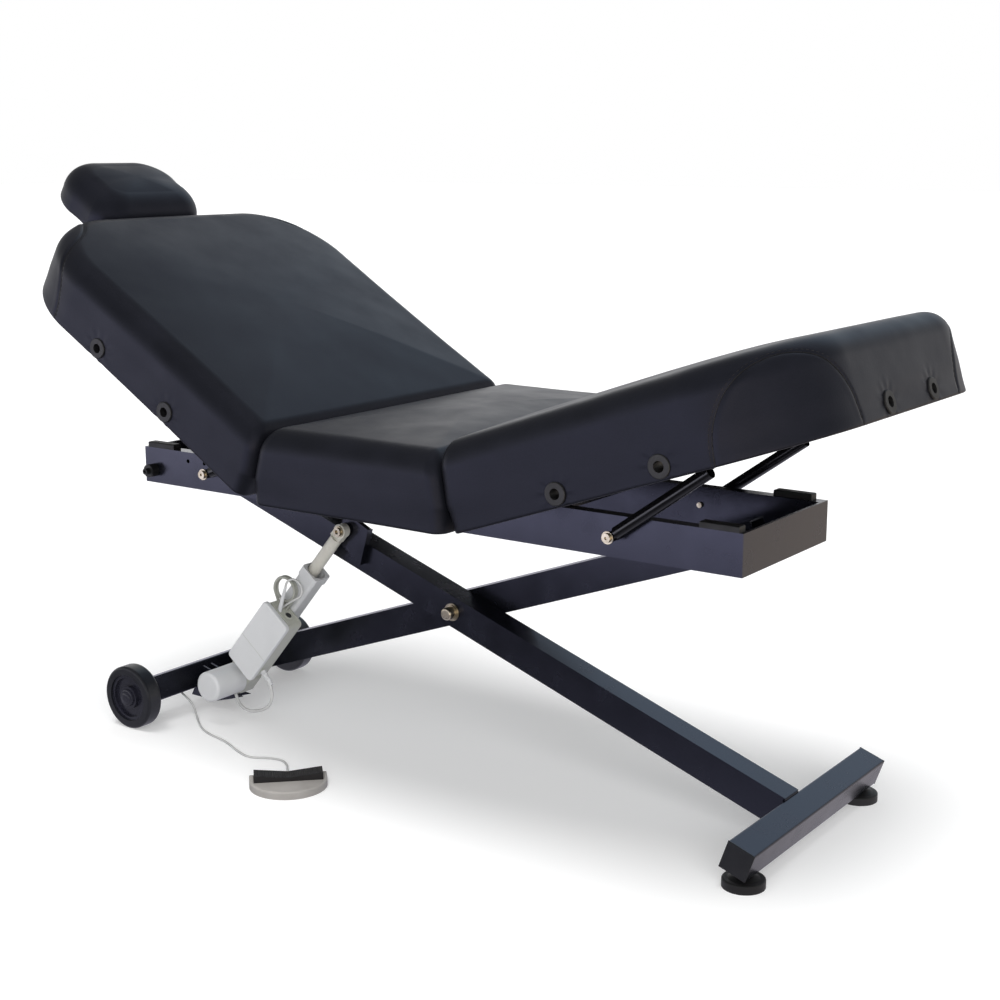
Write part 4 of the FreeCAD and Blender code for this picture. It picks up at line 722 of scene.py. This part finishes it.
def surface_point(grid, columns, levels, corner, along_arc, up_path):
    """A point of the dressed cover, by its place round a corner and up the profile."""
    share = along_arc / CORNER_ARC if corner == "end corner far" else 1 - along_arc / CORNER_ARC
    first = next(i for i, column in enumerate(columns) if column[0] == corner)
    count = sum(column[0] == corner for column in columns)
    across = first + share * count
    rows = [row for row, level in enumerate(levels) if level["path"] is not None]
    up = np.interp(up_path, [levels[row]["path"] for row in rows], rows)
    low_row, low_column = int(up), int(across)
    up_share, across_share = up - low_row, across - low_column
    corners = [grid[min(low_row + i, len(grid) - 1), (low_column + j) % len(columns)]
               for i in (0, 1) for j in (0, 1)]
    weights = [(1 - up_share) * (1 - across_share), (1 - up_share) * across_share,
               up_share * (1 - across_share), up_share * across_share]
    return sum(w * c for w, c in zip(weights, corners))


# %% Seams and stitches as their own pieces
SEAM_RADIUS, STITCH_RADIUS = 0.9, 0.45
STITCH_LENGTH = 4.0
STITCH_FROM_SEAM = 5.0


def arch_lines(grid, columns, levels, place, arch_height, outside, steps):
    """Points along the two arch seams of a section, or beside them, on its cover."""
    lines = []
    for corner in ("end corner near", "end corner far"):
        points = []
        for turn in (math.pi * step / steps for step in range(steps + 1)):
            along = ARCH_CENTRE - (ARCH_HALF_WIDTH + outside) * math.cos(turn)
            along = min(max(along, 0.5), CORNER_ARC - 0.5)
            up = max((arch_height + outside) * math.sin(turn), 1.5)
            points.append(Vector(place(*surface_point(grid, columns, levels, corner, along, up))))
        lines.append(points)
    return lines


def dashes(points):
    """Every second stretch of a line, each a stitch long."""
    stretches, travelled, dash = [], 0.0, [points[0]]
    for before, here in zip(points, points[1:]):
        travelled += (here - before).length / MM
        dash.append(here)
        if travelled > STITCH_LENGTH:
            stretches.append(dash)
            travelled, dash = 0.0, [here]
    return stretches[::2]


def thread_piece(name, body, lines, radius, sides):
    """Lines of thread on a cover, all in one piece."""
    bm = bmesh.new()
    for points in lines:
        tube(bm, points, [radius * MM] * len(points), sides)
    settle(bmesh_object(name, bm), vinyl_thread, body)


# %% [markdown]
# ## Backrest and leg rest
# The two tilting covers differ only in length, thickness and where their grommets sit. Both start
# half a millimetre from the hinge, and lean away from it so that they can close up when the
# section rises.

# %% Tilting covers
TILTING = (
    dict(name="backrest", length=716.0, height=104.0, place=on_back, opening=BACK_TILT / 2,
         grommets=(230.0, 430.0), arch=150.0, direction=-1, nodes=("back_pad", "back_skirt"),
         hinge_x=BACK_HINGE_X),
    dict(name="leg_rest", length=662.0, height=121.0, place=on_leg, opening=LEG_TILT / 2,
         grommets=(223.0, 415.0), arch=136.0, direction=1, nodes=("leg_pad", "leg_skirt"),
         hinge_x=LEG_HINGE_X),
)
BLEND_REACH = 30.0
HINGE_GAP, END_GAP_BELOW = 0.5, 1.5


def hinge_plane(hinge_x, direction, turn):
    """Start and end of the blend: points on both sides of the hinge's bisecting plane."""
    middle = metres(hinge_x, 0, HINGE_HEIGHT)
    normal = Vector((direction * math.cos(turn), 0, math.sin(turn)))
    return tuple(middle - normal * BLEND_REACH * MM), tuple(middle + normal * BLEND_REACH * MM)


def lean(t, opening):
    """How far a hinge end stands back from its hinge at a height."""
    below = END_GAP_BELOW - HINGE_GAP
    return (HINGE_GAP + max(t, 0.0) * math.tan(opening)
            + below * (1 - smooth_step(t, -6.0, 2.0)))


for section in TILTING:
    name, place, opening = section["name"], section["place"], section["opening"]
    columns = ring_columns(corner_points=108, hinge_corner_points=7, side_points=124,
                           end_points=80, hinge_points=80)
    levels = cover_levels(section["height"], side_step=2.6, turn_steps=24)
    grid = loft(columns, levels, lambda t: (lean(t, opening), section["length"]), HALF_WIDTH,
                HINGE_CORNER, OUTER_CORNER, both_hinged=False)
    open_for_frame(grid, columns, both_hinged=False)
    grommets = grommet_places(section["length"], section["grommets"])
    dress(grid, columns, levels, section["arch"], grommets)
    cover = cover_mesh(name + "_cover", grid, place)
    cut_holes(cover, grommets, place)
    plane = hinge_plane(section["hinge_x"], section["direction"], opening)
    settle_cover(cover, name, plane, section["nodes"])
    seams = arch_lines(grid, columns, levels, place, section["arch"], 0.0, 160)
    thread_piece(name + "_seams", name, seams, SEAM_RADIUS, 6)
    beside = arch_lines(grid, columns, levels, place, section["arch"], STITCH_FROM_SEAM, 600)
    stitches = [dash for points in beside for dash in dashes(points)]
    thread_piece(name + "_stitches", name, stitches, STITCH_RADIUS, 5)

# %% [markdown]
# ## Seat
# The middle section is hinged at both ends. Its cover is built whole and then cut in two in the
# middle, where nothing bends. Both halves keep the same points and the same slope at the cut,
# and no line shows.

# %% Seat cover
SEAT_TOP = 109.0
columns = ring_columns(corner_points=7, hinge_corner_points=7, side_points=100, end_points=80,
                       hinge_points=80)
levels = cover_levels(SEAT_TOP, side_step=3.0, turn_steps=20)
grid = loft(columns, levels,
            lambda t: (lean(t, BACK_TILT / 2), SEAT_LENGTH - lean(t, LEG_TILT / 2)),
            HALF_WIDTH, HINGE_CORNER, HINGE_CORNER, both_hinged=True)
open_for_frame(grid, columns, both_hinged=True)
dress(grid, columns, levels, None, ())
whole_seat = cover_mesh("seat_whole", grid, on_seat)
seat_middle = metres(BACK_HINGE_X + SEAT_LENGTH / 2, 0, HINGE_HEIGHT)


def half_cover(whole, name, keep):
    """One half of a cover, cut at the middle of the seat and closed there."""
    bm = bmesh.new()
    bm.from_mesh(whole.data)
    cut = bmesh.ops.bisect_plane(bm, geom=bm.verts[:] + bm.edges[:] + bm.faces[:],
                                 plane_co=seat_middle, plane_no=(-keep, 0, 0), clear_outer=True)
    edges = [item for item in cut["geom_cut"] if isinstance(item, bmesh.types.BMEdge)]
    bmesh.ops.contextual_create(bm, geom=edges)
    half = bmesh_object(name, bm, crease_angle=50.0)
    half.data.materials.append(vinyl)
    return half


for name, keep, body, hinge_x, turn, nodes in (
        ("seat_cover_back", -1, "backrest", BACK_HINGE_X, BACK_TILT / 2, ("seat_pad",)),
        ("seat_cover_leg", 1, "leg_rest", LEG_HINGE_X, LEG_TILT / 2, ("seat_skirt",))):
    half = half_cover(whole_seat, name, keep)
    settle_cover(half, body, hinge_plane(hinge_x, keep, turn), nodes)
bpy.data.objects.remove(whole_seat)

# %% [markdown]
# ## Headrest
# A small firm pillow on its own board. It is the same kind of ring loft, rounder all over, with a
# recess underneath that the board sits in.

# %% Headrest cover
HEAD_START, HEAD_END, HEAD_HALF = 728.0, 928.0, 140.0
HEAD_TOP, HEAD_UNDERSIDE, HEAD_SHOULDER = 95.0, 2.2, 54.0
HEAD_CORNER, HEAD_INNER_CORNER = 88.0, 55.0
HEAD_CROWN, HEAD_EDGE_TURN = 6.0, math.radians(86.0)
BOARD_ROOM, BOARD_ROOF, EDGE_ROUND = 11.7, 14.3, 11.0
RECESS_RINGS, RING_PATH = 5, 3.0


def headrest_levels():
    """The rings of the headrest: recess, rounded underside, flank, shoulder and crown."""
    rings = [(BOARD_ROOF, BOARD_ROOM, share) for share in (0.3, 0.7, 1.0)]
    rings.append((HEAD_UNDERSIDE, BOARD_ROOM, 1.0))
    for turn in (math.pi / 2 * step / 8 for step in range(1, 9)):
        rings.append((HEAD_UNDERSIDE + EDGE_ROUND * (1 - math.cos(turn)),
                      EDGE_ROUND * (1 - math.sin(turn)), 1.0))
    low, base = rings[-1][0], HEAD_TOP - HEAD_CROWN - HEAD_SHOULDER
    rings += [(low + (base - low) * step / 10, 0.0, 1.0) for step in range(1, 11)]
    for turn in (HEAD_EDGE_TURN * step / 20 for step in range(1, 21)):
        rings.append((base + HEAD_SHOULDER * math.sin(turn),
                      HEAD_SHOULDER * (1 - math.cos(turn)), 1.0))
    edge, edge_inset, _ = rings[-1]
    rings += [(edge + (HEAD_TOP - edge) * (1 - share ** 2), edge_inset, share)
              for share in TOP_SHARES]
    return [dict(t=t, inset=inset, hinge_inset=inset, share=share, draw=FLANK_DRAW,
                 path=None if number < RECESS_RINGS else number * RING_PATH)
            for number, (t, inset, share) in enumerate(rings)]


columns = ring_columns(corner_points=40, hinge_corner_points=20, side_points=24, end_points=36,
                       hinge_points=50)
levels = headrest_levels()
grid = loft(columns, levels, lambda t: (HEAD_START, HEAD_END), HEAD_HALF, HEAD_INNER_CORNER,
            HEAD_CORNER, both_hinged=False)
dress(grid, columns, levels, None, ())
head_cover = cover_mesh("headrest_cover", grid, on_back)
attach(head_cover, "headrest")
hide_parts("headrest_pad")
print(head_cover.name, len(head_cover.data.vertices), "points")

# %% [markdown]
# ## Cables of the actuator
# The actuator's electronics box has two sockets at its upper end and one underneath. A thick grey
# lead is wound a turn and a half and tucked behind, a thin white one makes a small loop from its
# long straight plug, and a third drops from a ribbed boot and swings back to the motor. All three
# ride on the actuator, and stay short of what it passes as the lift moves.

# %% The actuator's own directions
ACTUATOR_FOOT = (-482.0, -80.0, 50.0)
ACTUATOR_EYE = (-178.0, 425.0)
ACTUATOR_LEAN = 0.012
actuator_slope = math.atan2(ACTUATOR_EYE[1] - ACTUATOR_FOOT[2],
                            ACTUATOR_EYE[0] - ACTUATOR_FOOT[0]) - ACTUATOR_LEAN


def on_actuator(along, y, up):
    """A point given along the actuator from its foot, across the chair, and square to it."""
    c, s = math.cos(actuator_slope), math.sin(actuator_slope)
    return metres(ACTUATOR_FOOT[0] + along * c - up * s, y, ACTUATOR_FOOT[2] + along * s + up * c)


print("actuator slope", round(math.degrees(actuator_slope), 1), "degrees")


def actuator_lead(name, radius_mm, route, material):
    """A cable fixed at both ends to the actuator; its length is measured and printed."""
    points = [on_actuator(*place) for place in route]
    lead = soft_curve(name, points, radius_mm * MM)
    length = line_length(curve_line(lead))
    settle(lead, material, "actuator")
    print(name, round(length, 3), "m")


# %% Three leads
BOX_END = 276.0


def coil(middle, radius_mm, start_deg, stop_deg, y_start, y_stop, steps):
    """Places on a turn of a lead: a circle in the actuator's plane that drifts across."""
    places = []
    for share in (step / steps for step in range(steps + 1)):
        turn = math.radians(start_deg + (stop_deg - start_deg) * share)
        places.append((middle[0] + radius_mm * math.cos(turn), y_start + (y_stop - y_start) * share,
                       middle[1] + radius_mm * math.sin(turn)))
    return places


actuator_lead("thick_grey_lead", 3.0, (
    (270, -112, 10), (279, -114, 22), (287, -117, 31),
    *coil((309, 16), 25.0, 130, -450, -119, -109, 24),
    (298, -109, -9), (284, -110, -9.2), (270, -111, -9.5)), moulded["grey_pvc_jacket"])
actuator_lead("thin_white_lead", 2.2, (
    (316, -126.4, 10.6), (321, -126.2, 12.7),
    *coil((333.5, -2.5), 19.4, 113, -110, -126, -119, 12),
    (315, -118.5, -16), (303, -118, -11.6), (287, -117, -6),
    (270, -116, -1)), moulded["pale_pvc_jacket"])
actuator_lead("lower_white_lead", 3.2, (
    (131, -120, -46), (129, -121, -62), (126, -122, -80), (119, -123, -95), (106, -125, -106),
    (90, -127, -109), (74, -129, -104), (60, -131, -95), (47, -132, -84), (37, -130, -71),
    (30, -126, -56), (27, -120, -41), (26, -113, -26)), moulded["pale_pvc_jacket"])

# %% [markdown]
# ## Plugs, sockets and boots
# Small turned parts share one shape: a profile of radii that is spun round an axis. Each is
# a plug, a socket ring or a bend-relief boot with ribs, and that is what makes the ends of
# cables look real.

# %% Turned parts
def turned_part(name, start, axis, profile, material, body, sides=28):
    """A closed round part from (distance along the axis, radius) pairs in millimetres."""
    bm = bmesh.new()
    turn = Vector(axis).to_track_quat("Z", "Y")
    join_circles(bm, [circle(Vector(start) + turn @ Vector((0, 0, along * MM)), turn, radius * MM,
                             sides) for along, radius in profile])
    settle(bmesh_object(name, bm, crease_angle=35.0), material, body)


def ribbed(start, stop, thick, thin, ribs):
    """A tapered boot with ribs, as (distance, radius) pairs."""
    pairs = []
    for i in range(ribs):
        for part, drop in ((0.0, 0.7), (0.25, 0.0), (0.75, 0.0), (1.0, 0.7)):
            share = (i + part) / ribs
            pairs.append((start + (stop - start) * share, thick + (thin - thick) * share - drop))
    return pairs


up_the_box = on_actuator(1, 0, 0) - on_actuator(0, 0, 0)
out_below = on_actuator(0, 0, -1) - on_actuator(0, 0, 0)
plug_line = on_actuator(324, -126, 14) - on_actuator(273, -129, -8)
socket_start = on_actuator(BOX_END - 2, -119, -24)
turned_part("box_plug", on_actuator(273, -129, -8), plug_line,
            [(0, 4.6), (16, 4.6), (18, 4.0), (34, 3.6)] + ribbed(36, 54, 3.6, 2.7, 4),
            moulded["white_abs"], "actuator")
turned_part("box_socket", socket_start, up_the_box,
            [(0, 9.5), (3.0, 9.5), (3.6, 8.9), (3.6, 7.4), (1.4, 7.0)],
            moulded["light_grey_abs"], "actuator")
turned_part("box_socket_well", socket_start, up_the_box, [(0.4, 6.6), (1.9, 6.6)],
            moulded["black_nylon"], "actuator")
turned_part("lower_boot", on_actuator(131, -120, -48), out_below - up_the_box * 0.10,
            [(0, 6.4), (5, 6.4), (6, 5.8)] + ribbed(8, 36, 5.6, 4.0, 6),
            moulded["white_abs"], "actuator")

# %% [markdown]
# ## Hub caps, seams of the box and other small things
# The wheels are closed by black caps, so the steel axle doesn't show. The cover of the
# electronics box has a parting line nearer its lower end, and two ridges run across its upper
# end. Each is a thin strip, because a line that is only painted on disappears in side light.

# %% Hub caps
AXLE = (-580.0, 64.0)
WHEELS_MIDDLE_Y, WHEEL_FACE = -36.0, 245.1
for side, name in ((-1, "near_wheel"), (1, "far_wheel")):
    turned_part(name + "_cap",
                metres(AXLE[0], WHEELS_MIDDLE_Y + side * WHEEL_FACE, AXLE[1]), (0, side, 0),
                [(0, 17.5), (3.0, 17.5), (4.4, 16.6), (5.2, 14.6), (5.2, 12.2), (6.8, 11.6),
                 (8.0, 10.0), (8.4, 6.0), (8.4, 0.5)],
                moulded["glossy_black_nylon"], name + "_body", sides=40)


# %% Thin strips on the actuator
def strip(name, corners):
    """A thin flat bar between two opposite corners in the actuator's directions."""
    (a0, y0, u0), (a1, y1, u1) = corners
    points = [on_actuator(a, y, u) for a in (a0, a1) for y in (y0, y1) for u in (u0, u1)]
    faces = [(0, 1, 3, 2), (4, 6, 7, 5), (0, 4, 5, 1), (2, 3, 7, 6), (0, 2, 6, 4), (1, 5, 7, 3)]
    piece = mesh_object(name, points, faces)
    face_outward(piece)
    soften = piece.modifiers.new("soften", "BEVEL")
    soften.width = 0.2 * MM
    soften.segments = 2
    settle(piece, moulded["light_grey_abs"], "actuator")


strip("box_parting_line", ((178.0, -150.25, -53.0), (178.7, -149.0, 22.0)))
for name, y in (("box_end_ridge_low", -137.0), ("box_end_ridge_high", -107.0)):
    strip(name, ((275.0, y, -46.0), (277.2, y + 2.5, 15.0)))

# %% [markdown]
# ## Treadle ribs
# The rubber treadle of the foot pedal is a shallow V with ribs across it, so that a shoe doesn't
# slip. The ribs follow its two slopes, and ride on it as it rocks.

# %% Treadle ribs
PEDAL = (-125.5, -306.0)
PEDAL_TURN = math.radians(-45.5)
TREADLE_WING, TREADLE_MIDDLE, TREADLE_END = 63.0, 20.4, 27.0
RIB_SPACING, RIB_RADIUS, RIBS_EACH_WAY = 4.2, 0.9, 14


def on_pedal(x, y, z):
    """A point in the pedal's own directions, in metres where it lies."""
    c, s = math.cos(PEDAL_TURN), math.sin(PEDAL_TURN)
    return metres(PEDAL[0] + x * c - y * s, PEDAL[1] + x * s + y * c, z)


bm = bmesh.new()
for count in range(-RIBS_EACH_WAY, RIBS_EACH_WAY + 1):
    y = count * RIB_SPACING
    height = TREADLE_MIDDLE + (TREADLE_END - TREADLE_MIDDLE) * abs(y) / TREADLE_WING
    tube(bm, [on_pedal(x, y, height) for x in (8.5, 25.0, 41.5)], [RIB_RADIUS * MM] * 3, sides=8)
ribs = bmesh_object("treadle_ribs", bm)
settle(ribs, moulded["ribbed_rubber"], "treadle")
print(ribs.name, len(ribs.data.vertices), "points")

# %% [markdown]
# ## Weld beads
# Where an arm meets its cross bar the two tubes are welded. A bead is a row of small overlapping
# ripples, a few millimetres wide, under the same powder coat as the tubes.

# %% Weld beads
FOOT_BAR = (775.0, 54.0)
PIVOT = (69.75, 298.0)
ARM_MIDDLE_Y, ARM_HALF_WIDTH, BAR_HALF = -31.0, 25.0, 25.0
RIPPLE_MM, RIPPLE_DEPTH = 2.2, 0.12
long_arm_slope = math.atan2(PIVOT[1] - FOOT_BAR[1], FOOT_BAR[0] - PIVOT[0])


def on_long_arm(along, y, up):
    """A point along the long arm from the middle of its foot bar."""
    c, s = math.cos(long_arm_slope), math.sin(long_arm_slope)
    return metres(FOOT_BAR[0] - along * c + up * s, y, FOOT_BAR[1] + along * s + up * c)


def bead(bm, ends, width_mm):
    """A weld along a straight line: a tube whose thickness ripples."""
    start, stop = ends
    steps = max(int((stop - start).length / MM / (RIPPLE_MM / 3)), 6)
    points = [start.lerp(stop, step / steps) for step in range(steps + 1)]
    tube(bm, points, [width_mm / 2 * (1 + RIPPLE_DEPTH * math.cos(2 * math.pi * index / 3)) * MM
                      for index in range(steps + 1)], sides=10)


bm = bmesh.new()
arm_sides = (ARM_MIDDLE_Y - ARM_HALF_WIDTH, ARM_MIDDLE_Y + ARM_HALF_WIDTH)
for y in arm_sides:
    bead(bm, [on_long_arm(BAR_HALF + 0.6, y, up) for up in (-BAR_HALF + 2, BAR_HALF - 2)], 5.0)
bead(bm, [on_long_arm(BAR_HALF + 0.2, y, BAR_HALF + 0.4) for y in arm_sides], 4.0)
welds = bmesh_object("foot_bar_welds", bm, crease_angle=60.0)
settle(welds, powder_coat, "long_arm_body")
print(welds.name, len(welds.data.vertices), "points")

# %% [markdown]
# ## Floor and light
# The chair stands in a white studio. The floor is one large sheet. Its own colour is a light
# grey that takes the chair's shadow, and to the camera it adds just enough light of its own to
# reach white where nothing shades it. Glossy parts show what they mirror, so mirrors see another
# floor: bright near the camera, dark close in front of the chair, light again behind it, and
# warmer to the right. The world is white at the horizon, where the backdrop would be, and dim
# overhead, like the ceiling of a studio, with one bluish window that the padded tops mirror.
# Three far lamps add the direct light, and only the one behind is seen in reflections.

# %% Floor
PAPER, PAPER_GLOW = "#e3e3e3", 0.30
FLOOR_HALF = 40.0
MIRRORED_FRONT = dict(low=-2.1, high=-1.3, at_low=2.7, at_high=0.1, kind="SMOOTHSTEP")
MIRRORED_BEHIND = dict(low=-0.8, high=0.1, at_high=0.7, kind="SMOOTHSTEP")
MIRRORED_LEFT, MIRRORED_RIGHT = "#e6e5f6", "#ffefde"
TURNS_WARM = dict(low=0.7, high=1.1)
BLACK, WHITE = "#000000", "#ffffff"


def studio_ray(owner):
    """1 for rays that should see the backdrop: camera, reflection and transmission."""
    path = add_node(owner, "LightPath").outputs
    seen = combine(owner, "MAXIMUM", path["Is Camera Ray"], path["Is Glossy Ray"])
    return combine(owner, "MAXIMUM", seen, path["Is Transmission Ray"])


paper = bpy.data.materials.new("white_studio_paper")
paper.use_nodes = True
shader = paper.node_tree.nodes["Principled BSDF"]
shader.inputs["Roughness"].default_value = 0.9
shader.inputs["Specular IOR Level"].default_value = 0.0
mirrored = add_node(paper, "LightPath").outputs["Is Glossy Ray"]
place = add_node(paper, "TexCoord").outputs["Object"]
place = add_node(paper, "SeparateXYZ", {"Vector": place}).outputs
reflected = combine(paper, "ADD", ramp(paper, place["Y"], **MIRRORED_FRONT),
                    ramp(paper, place["Y"], **MIRRORED_BEHIND))
glow = combine(paper, "MULTIPLY", studio_ray(paper), PAPER_GLOW)
tint = mix(paper, ramp(paper, place["X"], **TURNS_WARM), linear(MIRRORED_LEFT),
           linear(MIRRORED_RIGHT))
link = paper.node_tree.links.new
link(mix(paper, mirrored, linear(PAPER), linear(BLACK)), shader.inputs["Base Color"])
link(mix(paper, mirrored, glow, reflected, "FLOAT"), shader.inputs["Emission Strength"])
link(mix(paper, mirrored, linear(WHITE), tint), shader.inputs["Emission Color"])
floor = mesh_object("floor", [(x * FLOOR_HALF, y * FLOOR_HALF, 0.0)
                              for x, y in ((-1, -1), (1, -1), (1, 1), (-1, 1))], [(0, 1, 2, 3)])
floor.data.materials.append(paper)

# %% World
DIFFUSE_WORLD = 0.33
CEILING = dict(low=0.12, high=0.40, at_low=1.0, at_high=0.22, kind="SMOOTHSTEP")
WINDOW_DIRECTION, WINDOW_GLOW, WINDOW_COLOUR = (-0.10, 0.80, 0.59), 0.72, "#d4ebff"
WINDOW_EDGE = dict(low=0.87, high=0.99, kind="SMOOTHSTEP")

world = bpy.data.worlds.new("studio")
world.use_nodes = True
bpy.context.scene.world = world
background = world.node_tree.nodes["Background"]
direction = add_node(world, "TexCoord").outputs["Generated"]
height = add_node(world, "SeparateXYZ", {"Vector": direction}).outputs["Z"]
facing = add_node(world, "VectorMath", {0: direction, 1: WINDOW_DIRECTION},
                  operation="DOT_PRODUCT").outputs["Value"]
window = ramp(world, facing, **WINDOW_EDGE)
seen = combine(world, "ADD", ramp(world, height, **CEILING),
               combine(world, "MULTIPLY", window, WINDOW_GLOW))
link = world.node_tree.links.new
link(mix(world, studio_ray(world), DIFFUSE_WORLD, seen, "FLOAT"), background.inputs["Strength"])
link(mix(world, window, linear(WHITE), linear(WINDOW_COLOUR)), background.inputs["Color"])
print("world", background.inputs["Strength"].is_linked, background.inputs["Color"].is_linked)


# %% Lamps
def soft_lamp(name, aim, strength, spread, mirrored):
    """A far lamp that shines along a direction, with light as soft as its spread in degrees."""
    data = bpy.data.lights.new(name, "SUN")
    data.energy = strength
    data.angle = math.radians(spread)
    lamp = show(name, data)
    lamp.location = (0.0, 0.0, 3.0)
    lamp.rotation_euler = Vector(aim).to_track_quat("-Z", "Y").to_euler()
    lamp.visible_glossy = mirrored


soft_lamp("overhead", (0.0, 0.12, -1.0), 2.3, 34.0, mirrored=False)
soft_lamp("fill", (-0.6, 0.7, -0.45), 1.4, 40.0, mirrored=False)
soft_lamp("behind", (0.55, -0.75, -0.36), 0.16, 30.0, mirrored=True)
bpy.context.scene.view_settings.view_transform = "Standard"
